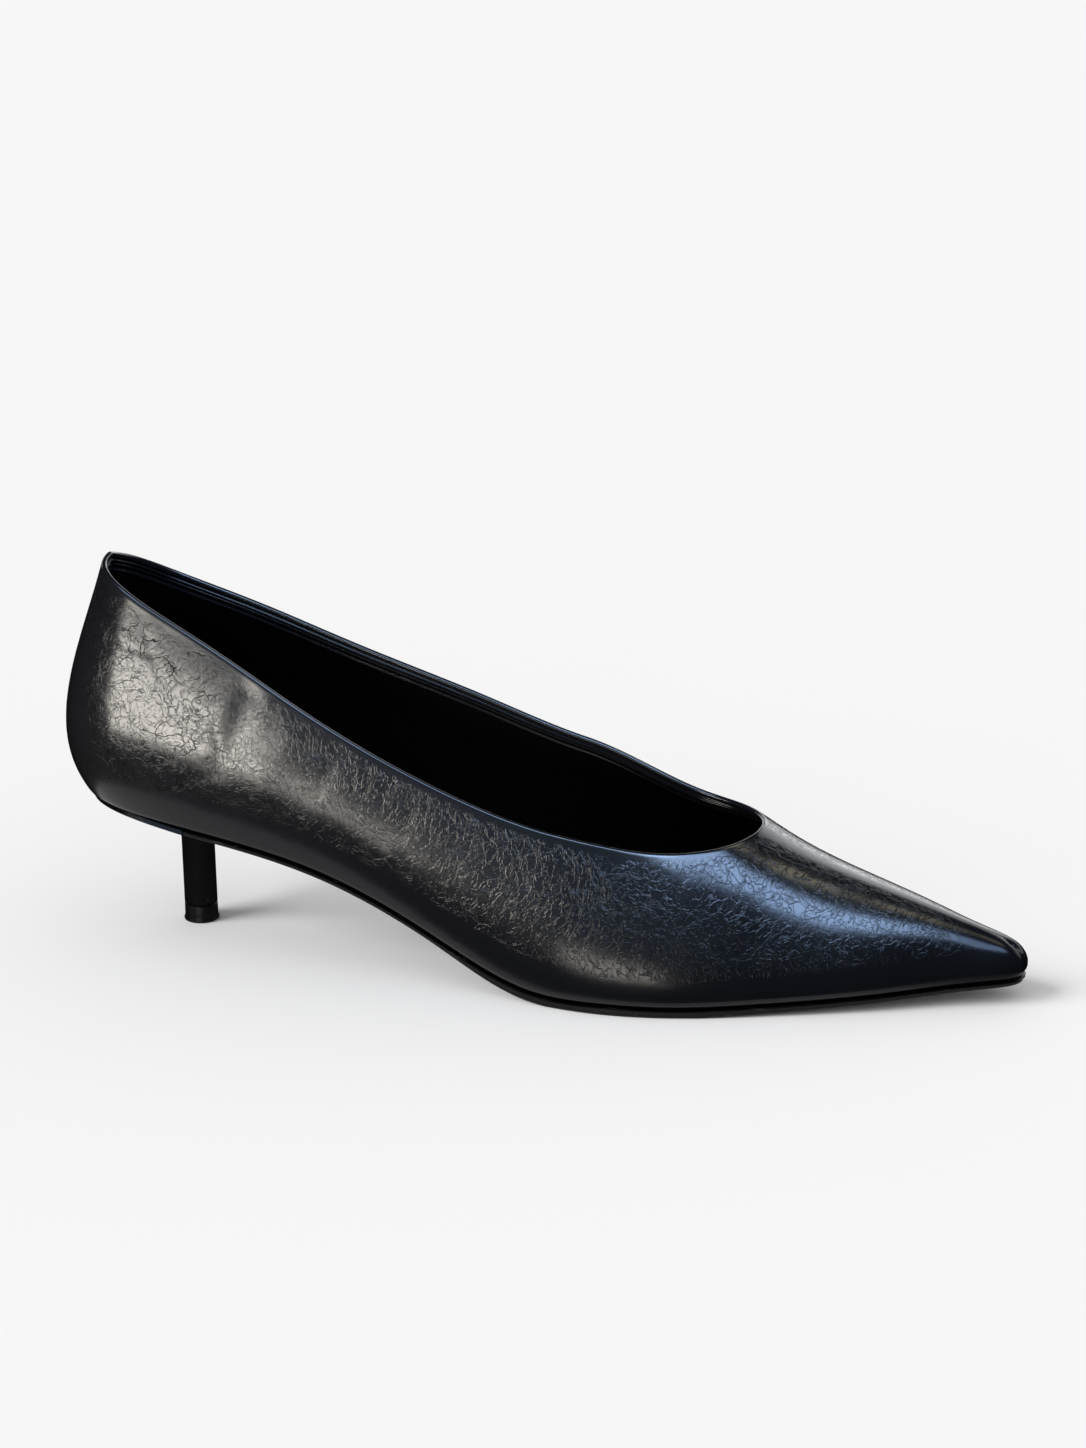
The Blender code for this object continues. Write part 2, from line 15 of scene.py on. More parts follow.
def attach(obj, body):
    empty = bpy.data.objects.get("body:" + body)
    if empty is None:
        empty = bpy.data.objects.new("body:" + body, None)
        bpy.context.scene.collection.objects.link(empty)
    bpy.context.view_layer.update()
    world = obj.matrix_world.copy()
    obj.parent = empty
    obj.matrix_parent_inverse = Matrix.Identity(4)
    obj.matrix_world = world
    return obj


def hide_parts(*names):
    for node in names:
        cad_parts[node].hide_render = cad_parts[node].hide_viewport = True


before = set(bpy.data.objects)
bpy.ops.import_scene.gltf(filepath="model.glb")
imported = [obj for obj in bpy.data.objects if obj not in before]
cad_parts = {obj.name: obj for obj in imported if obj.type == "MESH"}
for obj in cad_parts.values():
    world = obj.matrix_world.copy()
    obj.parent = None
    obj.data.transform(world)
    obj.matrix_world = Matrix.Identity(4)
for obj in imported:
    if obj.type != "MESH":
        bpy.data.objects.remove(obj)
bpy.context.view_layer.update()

# Sizes of the last
SHOE_LENGTH = 0.2625
BALL_HALF_WIDTH = 0.037
SEAT_RISE = 0.0370
TOE_SPRING = 0.0050
ARCH_RAISE = 0.004
BACK_HEIGHT = 0.066
VAMP_HEIGHT = 0.036
HEEL_PIVOT_SHARE = 0.675
TOE_PIVOT_SHARE = 0.15
HEEL_TURN = 0.22
TOE_TURN = 0.08
TURN_POWER = 2.5
ARCH_PLACE = 0.40
ARCH_SPREAD = 0.12
THROAT = 0.722
COLLAR_FULL = 0.52
THROAT_POWER = 2.5

# Thicknesses, edges and gaps
UPPER_WALL = 0.0016
FEATHER_INSIDE = 0.0008
LASTING_MARGIN = 0.010
MARGIN_SHARE = 0.75
INSOLE_THICKNESS = 0.0024
INSOLE_TOE = 0.0010
INSOLE_EASE = 0.0006
PARED_FROM = 0.78
TREAD_THICKNESS = 0.0022
WAIST_THICKNESS = 0.0011
THINNED_FROM = 0.66
TREAD_FLAT = 0.0003
EDGE_INSET = 0.0004
FIT = 0.0003
FEATHER_RADIUS = UPPER_WALL + FEATHER_INSIDE
LAST_CLEARANCE = TREAD_THICKNESS + FIT - TREAD_FLAT

# Heel
HEEL_AXIS = 0.0336
STEM_HALF_LENGTH = 0.0045
STEM_HALF_WIDTH = 0.0043
HEEL_TUCK = 0.0014
BREAST_LEDGE = 0.0010
DISH_SWELL = 0.0014
NECK_REACH = 0.0050
NECK_DROP = 0.0070
NECK_LIMIT = 0.85
TIP_HEIGHT = 0.0048
TIP_LIP = 0.0003

# The last's bottom seen from above: half widths as shares of BALL_HALF_WIDTH
OUTLINE = [
    {"place": 0.00, "outer": 0.55, "inner": 0.55},
    {"place": 0.07, "outer": 0.61, "inner": 0.61},
    {"place": 0.14, "outer": 0.67, "inner": 0.65},
    {"place": 0.24, "outer": 0.67, "inner": 0.63},
    {"place": 0.38, "outer": 0.72, "inner": 0.55},
    {"place": 0.50, "outer": 0.91, "inner": 0.66},
    {"place": 0.58, "outer": 1.01, "inner": 0.84},
    {"place": 0.66, "outer": 0.96, "inner": 0.96},
    {"place": 0.75, "outer": 0.76, "inner": 0.86},
    {"place": 0.85, "outer": 0.48, "inner": 0.57},
    {"place": 0.93, "outer": 0.23, "inner": 0.28},
    {"place": 1.00, "outer": 0.12, "inner": 0.12},
]

# The last's bottom seen from the side: rise as a share of SEAT_RISE, spring as a share of TOE_SPRING
BOTTOM = [
    {"along": 0.00, "rise": 1.010, "spring": 0.00},
    {"along": 0.08, "rise": 0.963, "spring": 0.00},
    {"along": 0.18, "rise": 0.850, "spring": 0.00},
    {"along": 0.30, "rise": 0.635, "spring": 0.00},
    {"along": 0.42, "rise": 0.285, "spring": 0.00},
    {"along": 0.52, "rise": 0.028, "spring": 0.00},
    {"along": 0.60, "rise": 0.004, "spring": 0.00},
    {"along": 0.66, "rise": 0.000, "spring": 0.01},
    {"along": 0.76, "rise": 0.000, "spring": 0.15},
    {"along": 0.88, "rise": 0.000, "spring": 0.48},
    {"along": 1.00, "rise": 0.000, "spring": 1.00},
]

# The collar: heights as shares of BACK_HEIGHT, half openings as shares of BALL_HALF_WIDTH, lean in degrees
COLLAR = [
    {"place": 0.00, "outer": 0.985, "inner": 0.985, "open_outer": 0.36, "open_inner": 0.36, "lean": 74},
    {"place": 0.06, "outer": 0.947, "inner": 0.915, "open_outer": 0.41, "open_inner": 0.40, "lean": 74},
    {"place": 0.12, "outer": 0.878, "inner": 0.830, "open_outer": 0.48, "open_inner": 0.50, "lean": 75},
    {"place": 0.20, "outer": 0.754, "inner": 0.751, "open_outer": 0.51, "open_inner": 0.59, "lean": 73},
    {"place": 0.30, "outer": 0.614, "inner": 0.704, "open_outer": 0.54, "open_inner": 0.62, "lean": 71},
    {"place": 0.42, "outer": 0.588, "inner": 0.750, "open_outer": 0.59, "open_inner": 0.60, "lean": 68},
    {"place": 0.54, "outer": 0.616, "inner": 0.741, "open_outer": 0.67, "open_inner": 0.65, "lean": 62},
    {"place": 0.64, "outer": 0.527, "inner": 0.609, "open_outer": 0.72, "open_inner": 0.74, "lean": 57},
    {"place": 0.75, "outer": 0.480, "inner": 0.480, "open_outer": 0.77, "open_inner": 0.78, "lean": 52},
]

# The ridge over the vamp, as a share of VAMP_HEIGHT
RIDGE = [
    {"place": 0.52, "height": 1.72},
    {"place": 0.68, "height": 1.273},
    {"place": 0.74, "height": 0.986},
    {"place": 0.81, "height": 0.739},
    {"place": 0.88, "height": 0.533},
    {"place": 0.95, "height": 0.316},
    {"place": 1.00, "height": 0.220},
]

# The wall's swell: its angle at the feather line in degrees, and how full it is low and high
WALL = [
    {"place": 0.00, "angle": 52, "low": 0.32, "high": 0.34},
    {"place": 0.14, "angle": 70, "low": 0.38, "high": 0.36},
    {"place": 0.30, "angle": 76, "low": 0.36, "high": 0.38},
    {"place": 0.50, "angle": 80, "low": 0.28, "high": 0.38},
    {"place": 0.66, "angle": 84, "low": 0.18, "high": 0.42},
    {"place": 0.80, "angle": 84, "low": 0.22, "high": 0.44},
    {"place": 1.00, "angle": 76, "low": 0.36, "high": 0.42},
]

# The folded top edge seen in section: depth below the collar and how far it stands proud of the wall's inside
TOP_BAND = [
    {"depth": 0.0000, "proud": 0.00000},
    {"depth": 0.0004, "proud": 0.00005},
    {"depth": 0.0008, "proud": -0.00035},
    {"depth": 0.0011, "proud": 0.00015},
    {"depth": 0.0015, "proud": 0.00020},
    {"depth": 0.0018, "proud": -0.00030},
    {"depth": 0.0021, "proud": 0.00010},
    {"depth": 0.0028, "proud": 0.00015},
    {"depth": 0.0036, "proud": 0.00015},
    {"depth": 0.0040, "proud": 0.00045},
    {"depth": 0.0044, "proud": 0.00000},
    {"depth": 0.0046, "proud": -0.00060},
]
BAND_STEPS = 36
BAND_DEPTHS = np.linspace(0, TOP_BAND[-1]["depth"], BAND_STEPS + 1)[1:]

# The insole's and the sole's edges, from the top down: how far a row lies inside the edge, and how far down
# the thickness as a share
INSOLE_EDGE = [
    {"inward": 0.00060, "down": 0.00},
    {"inward": 0.00020, "down": 0.12},
    {"inward": 0.00000, "down": 0.40},
    {"inward": 0.00000, "down": 1.00},
]
SOLE_EDGE = [
    {"inward": 0.00045, "down": 0.00},
    {"inward": 0.00020, "down": 0.03},
    {"inward": 0.00003, "down": 0.14},
    {"inward": 0.00000, "down": 0.26},
    {"inward": 0.00012, "down": 0.36},
    {"inward": 0.00016, "down": 0.44},
    {"inward": 0.00012, "down": 0.80},
    {"inward": 0.00025, "down": 0.93},
    {"inward": 0.00060, "down": 1.00},
]

# The heel tip's side, from the top down: height above the floor, and how far it stands outside the stem
TIP_SIDE = [
    {"height": TIP_HEIGHT, "grow": -0.0006},
    {"height": TIP_HEIGHT, "grow": -0.0001},
    {"height": TIP_HEIGHT - 0.0002, "grow": 0.0},
    {"height": 0.0016, "grow": 0.00002},
    {"height": 0.0010, "grow": 0.00010},
    {"height": 0.0006, "grow": TIP_LIP},
    {"height": 0.0003, "grow": TIP_LIP},
    {"height": 0.0000, "grow": TIP_LIP * 0.5},
    {"height": 0.0000, "grow": -STEM_HALF_WIDTH * 0.98},
]

# Soft troughs (depth above 0) and ridges (below 0) of the outer wall, each along a line of points given as
# place along the shoe and share of the way up the wall
CREASES = [
    {"depth": 0.00022, "width": 0.0035, "line": ((0.235, 1.00), (0.228, 0.80), (0.218, 0.58), (0.205, 0.42))},
    {"depth": -0.00016, "width": 0.0055, "line": ((0.275, 0.80), (0.262, 0.62), (0.250, 0.45))},
    {"depth": 0.00006, "width": 0.0011,
     "line": ((0.13, 0.89), (0.14, 0.79), (0.155, 0.70), (0.18, 0.67), (0.20, 0.64), (0.205, 0.54))},
    {"depth": 0.00005, "width": 0.0010, "line": ((0.096, 0.54), (0.118, 0.52), (0.136, 0.47), (0.144, 0.40))},
    {"depth": 0.00005, "width": 0.0010, "line": ((0.075, 0.87), (0.074, 0.80), (0.108, 0.79), (0.134, 0.82))},
    {"depth": 0.00006, "width": 0.0014, "line": ((0.132, 0.29), (0.164, 0.26), (0.182, 0.28), (0.206, 0.36))},
    {"depth": 0.00012, "width": 0.0030, "line": ((0.325, 0.96), (0.315, 0.75), (0.30, 0.55))},
    {"depth": 0.00010, "width": 0.0030, "line": ((0.40, 0.95), (0.395, 0.72), (0.38, 0.52))},
    {"depth": 0.00007, "width": 0.0014, "line": ((0.551, 0.88), (0.545, 0.74), (0.537, 0.60))},
    {"depth": 0.00006, "width": 0.0013, "line": ((0.566, 0.78), (0.575, 0.66), (0.582, 0.56))},
    {"depth": 0.00006, "width": 0.0013, "line": ((0.591, 0.74), (0.585, 0.64), (0.577, 0.54))},
    {"depth": 0.00006, "width": 0.0013, "line": ((0.619, 0.63), (0.627, 0.52), (0.629, 0.33))},
    {"depth": 0.00005, "width": 0.0012, "line": ((0.631, 0.60), (0.657, 0.61), (0.683, 0.61), (0.701, 0.56))},
    {"depth": 0.00005, "width": 0.0012, "line": ((0.653, 0.53), (0.667, 0.42), (0.677, 0.37), (0.695, 0.28))},
]
CREASES_FROM, CREASES_FULL = 0.0, 0.12  # shares of the way up the wall between which creases fade in
CREASES_FADE, CREASES_END = 0.90, 1.0  # and fade out again
LINING_BACK = 0.0003  # how far the lining lies behind the top band

# Mesh steps: columns of the upper are counted along one side, behind the throat and ahead of it
BACK_COLUMNS = 262
FRONT_COLUMNS = 87
WALL_ROWS = 78
MARGIN_ROWS = 6
FEATHER_ROWS = 5
RIM_ROWS = 9
LINING_ROWS = 40
SOLE_COLUMNS = 360
SOLE_RINGS = 14
SEAT_STATIONS = 60
BREAST_STATIONS = 30
SEAT_RINGS = (0.0, 0.5, 0.9, 0.98)
DISH_ROWS = 14
NECK_ROWS = 22
STEM_ROWS = 10
FOOT_RING = 0.9
CREASE_STEPS = 24
FINE_PLACES = 6000
BISECTIONS = 50
VAULT_START = 0.3  # the collar crosses the vault above this share of it
SLOPE_STEP = 0.001
SHARED_POINT = 1e-6
SHORTEST = 1e-12
SHARP_EDGE = math.radians(50)

OUTER_SIDE, INNER_SIDE = -1.0, 1.0


def spline(rows, key, column, at):
    """Reads a column of a table at values of its key, on a natural cubic through the rows."""
    xs = np.array([row[key] for row in rows], float)
    ys = np.array([row[column] for row in rows], float)
    at = np.asarray(at, float)
    count, step = len(xs), np.diff(xs)
    matrix, bend = np.zeros((count, count)), np.zeros(count)
    matrix[0, 0] = matrix[-1, -1] = 1.0
    for i in range(1, count - 1):
        matrix[i, i - 1 : i + 2] = step[i - 1], 2 * (step[i - 1] + step[i]), step[i]
        bend[i] = 6 * ((ys[i + 1] - ys[i]) / step[i] - (ys[i] - ys[i - 1]) / step[i - 1])
    second = np.linalg.solve(matrix, bend)
    i = np.clip(np.searchsorted(xs, at) - 1, 0, count - 2)
    before, after = at - xs[i], xs[i + 1] - at
    return (
        (second[i] * after**3 + second[i + 1] * before**3) / (6 * step[i])
        + (ys[i] / step[i] - second[i] * step[i] / 6) * after
        + (ys[i + 1] / step[i] - second[i + 1] * step[i] / 6) * before
    )


def clamp(value, low=0.0, high=1.0):
    return np.clip(value, low, high)


def ease(value, low, high):
    """0 below low, 1 above high and smooth between them."""
    share = clamp((value - low) / (high - low))
    return share**2 * (3 - 2 * share)


def by_side(side, rows, key, outer, inner, at):
    """Reads the outer side's column or the inner side's."""
    return np.where(side < 0, spline(rows, key, outer, at), spline(rows, key, inner, at))


def section_foot(place):
    """Where sections stand on the axis: x from the heel back, and the cosine and sine of their direction."""
    first = HEEL_PIVOT_SHARE * BALL_HALF_WIDTH
    last = SHOE_LENGTH - TOE_PIVOT_SHARE * BALL_HALF_WIDTH
    pace = (last - first) / (1 - (HEEL_TURN + TOE_TURN) / 2)
    heel, toe = clamp(place / HEEL_TURN), clamp((1 - place) / TOE_TURN)
    straight = clamp(place - HEEL_TURN, 0.0, 1 - HEEL_TURN - TOE_TURN)
    x = first + pace * (
        HEEL_TURN * (heel**3 - heel**4 / 2) + straight + TOE_TURN * (0.5 - toe**3 + toe**4 / 2)
    )
    turn = math.pi / 2 * (1 + (1 - heel) ** TURN_POWER - (1 - toe) ** TURN_POWER)
    return x, np.cos(turn), np.sin(turn)


def section_point(place, side, reach):
    """Points at a distance from the axis along their sections, seen from above."""
    foot, ahead, across = section_foot(place)
    return foot + reach * ahead, side * reach * across


def last_bottom(x, y):
    """Height of the last's bottom, with x from the heel back."""
    along = clamp(x / SHOE_LENGTH)
    arch = ARCH_RAISE * np.exp(-(((along - ARCH_PLACE) / ARCH_SPREAD) ** 2))
    return (
        LAST_CLEARANCE
        + spline(BOTTOM, "along", "rise", along) * SEAT_RISE
        + spline(BOTTOM, "along", "spring", along) * TOE_SPRING
        + arch * clamp(y / BALL_HALF_WIDTH) ** 2
    )


def off_bottom(x, y, distance):
    """Height of a surface that lies off the sloping bottom by a distance, upwards if it is positive."""
    slope = (last_bottom(x + SLOPE_STEP, y) - last_bottom(x - SLOPE_STEP, y)) / (2 * SLOPE_STEP)
    return last_bottom(x, y) + distance * np.sqrt(1 + slope**2)


def feather_reach(place, side):
    """Half width of the last's bottom along a section."""
    return by_side(side, OUTLINE, "place", "outer", "inner", place) * BALL_HALF_WIDTH


def collar_share(place):
    """1 where the collar is fully open, 0 at the throat and ahead of it."""
    closing = clamp((place - COLLAR_FULL) / (THROAT - COLLAR_FULL))
    return np.sqrt(1 - closing**THROAT_POWER)


def collar_reach(place, side):
    """Distance from the axis to the collar along a section."""
    opening = by_side(side, COLLAR, "place", "open_outer", "open_inner", np.minimum(place, THROAT))
    return opening * BALL_HALF_WIDTH * collar_share(place)


def bezier(start, low, high, end, t):
    """Points of cubic curves from start to end, drawn towards their two inner points."""
    t = t[..., None]
    return (1 - t) ** 3 * start + 3 * (1 - t) ** 2 * t * low + 3 * (1 - t) * t**2 * high + t**3 * end


def wall_pulls(place, start, angle, end, lean):
    """The two inner points of wall curves that leave the feather line at an angle and lean at their top."""
    chord = np.linalg.norm(end - start, axis=-1)
    low = spline(WALL, "place", "low", place) * chord
    high = spline(WALL, "place", "high", place) * chord
    return (
        start + low[..., None] * np.stack([np.cos(angle), np.sin(angle)], -1),
        end + high[..., None] * np.stack([np.cos(lean), -np.sin(lean)], -1),
    )


def side_curve(place, side, start, angle, share):
    """The free wall of the quarter, from the feather line to the collar."""
    at = np.minimum(place, THROAT)
    floor = last_bottom(section_foot(place)[0], 0.0)
    height = by_side(side, COLLAR, "place", "outer", "inner", at) * BACK_HEIGHT
    end = np.stack([collar_reach(place, side), floor + height], -1)
    lean = np.radians(spline(COLLAR, "place", "lean", at))
    low, high = wall_pulls(place, start, angle, end, lean)
    return bezier(start, low, high, end, share)


def vault_curve(place, side, start, angle, share):
    """The vamp's vault from the feather line to the ridge, cut off where the collar crosses it."""
    floor = last_bottom(section_foot(place)[0], 0.0)
    height = spline(RIDGE, "place", "height", np.maximum(place, COLLAR_FULL)) * VAMP_HEIGHT
    end = np.stack([np.zeros_like(height), floor + height], -1)
    low, high = wall_pulls(place, start, angle, end, np.zeros_like(angle))
    reach = np.where(place < THROAT, collar_reach(place, side), 0.0)
    below, above = np.full_like(height, VAULT_START), np.ones_like(height)
    for _ in range(BISECTIONS):
        middle = (below + above) / 2
        outside = bezier(start, low, high, end, middle)[..., 0] > reach
        below, above = np.where(outside, middle, below), np.where(outside, above, middle)
    return bezier(start, low, high, end, share * above)


def wall_curve(place, side, share):
    """The wall's outer face along sections, as (distance from the axis, height) from feather to top."""
    reach = feather_reach(place, side)
    angle = np.radians(spline(WALL, "place", "angle", place))
    corner = last_bottom(*section_point(place, side, reach - FEATHER_RADIUS * np.sin(angle)))
    start = np.stack([reach, corner + FEATHER_RADIUS * (1 - np.cos(angle))], -1)
    free = side_curve(place, side, start, angle, share)
    vault = vault_curve(place, side, start, angle, share)
    blend = ease(place, COLLAR_FULL, THROAT)[..., None]
    return (1 - blend) * free + blend * vault


def wall_grid(place, side, shares):
    """Points of the wall's outer face, one row for each share of the way up, in the shoe's frame."""
    rows = []
    for share in shares:
        curve = wall_curve(place, side, np.full_like(place, share))
        x, y = section_point(place, side, curve[..., 0])
        rows.append(np.stack([x - HEEL_AXIS, y, curve[..., 1]], -1))
    return np.array(rows)


def margin_grid(place, side):
    """Rows of the turned-in edge under the last and of the rounding at the feather line."""
    reach = feather_reach(place, side)
    angle = np.radians(spline(WALL, "place", "angle", place))
    corner = reach - FEATHER_RADIUS * np.sin(angle)
    edge = reach - np.minimum(LASTING_MARGIN, MARGIN_SHARE * reach)
    feather = last_bottom(*section_point(place, side, corner))
    rows = []
    for share in np.arange(MARGIN_ROWS) / MARGIN_ROWS:
        x, y = section_point(place, side, edge + (corner - edge) * share)
        rows.append(np.stack([x - HEEL_AXIS, y, last_bottom(x, y)], -1))
    for share in np.arange(FEATHER_ROWS) / FEATHER_ROWS:
        x, y = section_point(place, side, corner + FEATHER_RADIUS * np.sin(angle * share))
        height = feather + FEATHER_RADIUS * (1 - np.cos(angle * share))
        rows.append(np.stack([x - HEEL_AXIS, y, height], -1))
    return np.array(rows)


def even_places(count, first=0.0, last=1.0):
    """Places spaced evenly along the feather line and the collar, whichever runs faster."""
    fine = np.linspace(first, last, FINE_PLACES)
    step = np.zeros(len(fine) - 1)
    for side in (OUTER_SIDE, INNER_SIDE):
        sides = np.full_like(fine, side)
        for reach in (feather_reach(fine, sides), collar_reach(fine, sides)):
            line = np.stack(section_point(fine, sides, reach), -1)
            step = np.maximum(step, np.linalg.norm(np.diff(line, axis=0), axis=1))
    way = np.concatenate([[0.0], np.cumsum(step)])
    return np.interp(np.linspace(0, way[-1], count + 1), way, fine)


def once_round(places):
    """Sections once round the shoe: along the outer side to the toe, and back along the inner side."""
    place = np.concatenate([places, places[-2:0:-1]])
    side = np.concatenate([np.full(len(places), OUTER_SIDE), np.full(len(places) - 2, INNER_SIDE)])
    return place, side


def unit(vectors):
    return vectors / np.maximum(np.linalg.norm(vectors, axis=-1, keepdims=True), SHORTEST)


def grid_faces(rows, columns, start=0):
    """Quads of a grid that closes round its columns."""
    i, j = np.meshgrid(np.arange(rows - 1), np.arange(columns), indexing="ij")
    k = (j + 1) % columns
    corners = [i * columns + j, i * columns + k, (i + 1) * columns + k, (i + 1) * columns + j]
    return np.stack(corners, -1).reshape(-1, 4) + start


def make_piece(name, points, faces, material, smooth=True):
    """A mesh object from points and faces."""
    mesh = bpy.data.meshes.new(name)
    mesh.from_pydata(np.asarray(points).tolist(), [], np.asarray(faces).tolist())
    return finish_piece(name, mesh, material, smooth)


def finish_piece(name, mesh, material, smooth=True):
    """Merges shared points, drops empty faces and links the piece."""
    bm = bmesh.new()
    bm.from_mesh(mesh)
    bmesh.ops.remove_doubles(bm, verts=bm.verts, dist=SHARED_POINT)
    bmesh.ops.recalc_face_normals(bm, faces=bm.faces)
    bm.to_mesh(mesh)
    bm.free()
    mesh.materials.append(material)
    if smooth:
        mesh.shade_smooth()
    piece = bpy.data.objects.new(name, mesh)
    bpy.context.collection.objects.link(piece)
    return piece


def set_attribute(mesh, name, values):
    """Gives each vertex a value that the materials can read."""
    attribute = mesh.attributes.new(name, "FLOAT", "POINT")
    attribute.data.foreach_set("value", values.astype(np.float32))


# The upper


def upper_ring():
    """Sections once round the shoe, with one exactly at the throat, and the indices of the collar's loop."""
    back = even_places(BACK_COLUMNS, 0.0, THROAT)
    front = even_places(FRONT_COLUMNS, THROAT, 1.0)
    places = np.concatenate([back, front[1:]])
    place, side = once_round(places)
    throat, toe = len(back) - 1, len(places) - 1
    loop = [*range(throat + 1), *(2 * toe - i for i in range(throat - 1, 0, -1))]
    return place, side, np.array(loop), throat


def grid_normals(grid):
    """Outward normals of a grid that closes round its columns and rises with its rows."""
    along = np.roll(grid, -1, axis=1) - np.roll(grid, 1, axis=1)
    upward = np.gradient(grid, axis=0)
    return unit(np.cross(along, upward))


def collar_frame(wall, loop, throat):
    """At each point of the collar: the half vector across the wall, and the unit vector along its inside."""
    outward = grid_normals(wall)[-2, loop]
    outward[throat] = unit(outward[throat - 1] + outward[throat + 1])
    outside = wall[-1, loop]
    across = outward * UPPER_WALL / 2
    along = np.roll(outside, -1, axis=0) - np.roll(outside, 1, axis=0)
    upward = unit(np.cross(across, along))
    return outside, across, upward


def collar_grid(wall, loop, throat):
    """Rows over the collar's rounded edge and down the folded band inside it."""
    outside, across, upward = collar_frame(wall, loop, throat)
    middle, half = outside - across, UPPER_WALL / 2
    rows = [outside]
    for sweep in np.linspace(0, math.pi, RIM_ROWS + 1)[1:]:
        rows.append(middle + math.cos(sweep) * across + math.sin(sweep) * half * upward)
    inward = unit(-across)
    for depth, proud in zip(BAND_DEPTHS, spline(TOP_BAND, "depth", "proud", BAND_DEPTHS)):
        rows.append(outside - 2 * across + inward * proud - upward * depth)
    return np.array(rows)


def wall_heights(wall):
    """Distance up the wall from the feather line, for each point of its grid."""
    steps = np.linalg.norm(np.diff(wall, axis=0), axis=-1)
    return np.concatenate([np.zeros((1, wall.shape[1])), np.cumsum(steps, axis=0)])


def crease_points(line):
    """Points on the outer wall along a crease, close together."""
    steps = np.linspace(0, len(line) - 1, CREASE_STEPS * (len(line) - 1) + 1)
    places, shares = (np.interp(steps, np.arange(len(line)), [point[i] for point in line]) for i in (0, 1))
    curve = wall_curve(places, np.full_like(places, OUTER_SIDE), shares)
    x, y = section_point(places, OUTER_SIDE, curve[..., 0])
    return np.stack([x - HEEL_AXIS, y, curve[..., 1]], -1)


def creased(wall):
    """The wall's grid with its creases pressed in along its normals, fading out at both its edges."""
    outward = grid_normals(wall)
    share = np.linspace(0, 1, wall.shape[0])[:, None]
    inside_edges = ease(share, CREASES_FROM, CREASES_FULL) * (1 - ease(share, CREASES_FADE, CREASES_END))
    depth = np.zeros(wall.shape[:2])
    for crease in CREASES:
        line = crease_points(crease["line"])
        nearest = np.full(wall.shape[:2], np.inf)
        for point in line:
            nearest = np.minimum(nearest, np.linalg.norm(wall - point, axis=-1))
        depth += crease["depth"] * np.exp(-((nearest / crease["width"]) ** 2))
    return wall - outward * (depth * inside_edges)[..., None]


def leather_heights(wall, loop):
    """For each point of the leather: how far up the wall it lies, and how far below the collar's edge.

    The second is negative inside the collar."""
    height = wall_heights(wall)
    top = height[-1]
    low = np.zeros((MARGIN_ROWS + FEATHER_ROWS, wall.shape[1]))
    inside = np.concatenate([np.zeros(RIM_ROWS + 1), -BAND_DEPTHS])
    up = np.concatenate([low.ravel(), height.ravel(), np.tile(top[loop], len(inside))])
    down = np.concatenate([(low + top).ravel(), (top - height).ravel(), np.repeat(inside, len(loop))])
    return up, down


def make_leather(material):
    """The outer skin, turned in under the last and folded over at the collar."""
    place, side, loop, throat = upper_ring()
    wall = creased(wall_grid(place, side, np.linspace(0, 1, WALL_ROWS + 1)))
    skin = np.concatenate([margin_grid(place, side), wall])
    rim = collar_grid(wall, loop, throat)
    points = np.concatenate([skin.reshape(-1, 3), rim.reshape(-1, 3)])
    faces = np.concatenate([
        grid_faces(skin.shape[0], len(place)),
        grid_faces(rim.shape[0], len(loop), skin.shape[0] * len(place)),
    ])
    mesh = bpy.data.meshes.new("upper_leather")
    mesh.from_pydata(points.tolist(), [], faces.tolist())
    up, down = leather_heights(wall, loop)
    set_attribute(mesh, "height", up)
    set_attribute(mesh, "below_top", down)
    return finish_piece("upper_leather", mesh, material)


def make_lining(material):
    """The lining behind the folded band, down to the turned-in edge."""
    place, side, _, _ = upper_ring()
    wall = wall_grid(place, side, np.linspace(0, 1, LINING_ROWS + 1))
    inside = wall - grid_normals(wall) * (UPPER_WALL - LINING_BACK)
    throat = place == THROAT
    inside[:, throat] = (inside[:, np.roll(throat, 1)] + inside[:, np.roll(throat, -1)]) / 2
    faces = grid_faces(inside.shape[0], len(place))[:, ::-1]
    return make_piece("upper_lining", inside.reshape(-1, 3), faces, material)


# Insole and outsole


def plate_points(place, side, inset, share, height):
    """Points at a share of the way from the axis to a plate's edge, at the height that a function gives."""
    x, y = section_point(place, side, share * (feather_reach(place, side) - inset))
    return np.stack([x - HEEL_AXIS, y, height(x, y)], -1)


def insole_inset():
    """How far inside the feather line the insole clears the upper's inner rounding."""
    rounding = math.sqrt(max(FEATHER_INSIDE**2 - (FEATHER_INSIDE - FIT) ** 2, 0.0))
    return FEATHER_RADIUS - rounding + INSOLE_EASE


def insole_thickness(x):
    """Thickness of the insole, pared down towards the toe."""
    pared = clamp((x / SHOE_LENGTH - PARED_FROM) / (1 - PARED_FROM))
    return INSOLE_THICKNESS + (INSOLE_TOE - INSOLE_THICKNESS) * pared


def outsole_thickness(x):
    """Thickness of the outsole, eased from the waist to the tread and thinned again towards the toe."""
    along = clamp((x / SHOE_LENGTH - ARCH_PLACE) / ARCH_SPREAD)
    thinned = clamp((x / SHOE_LENGTH - THINNED_FROM) / (1 - THINNED_FROM))
    return WAIST_THICKNESS + (TREAD_THICKNESS - WAIST_THICKNESS) * along**2 * (3 - 2 * along) * (1 - thinned)


def sole_ring():
    return once_round(even_places(SOLE_COLUMNS // 2))


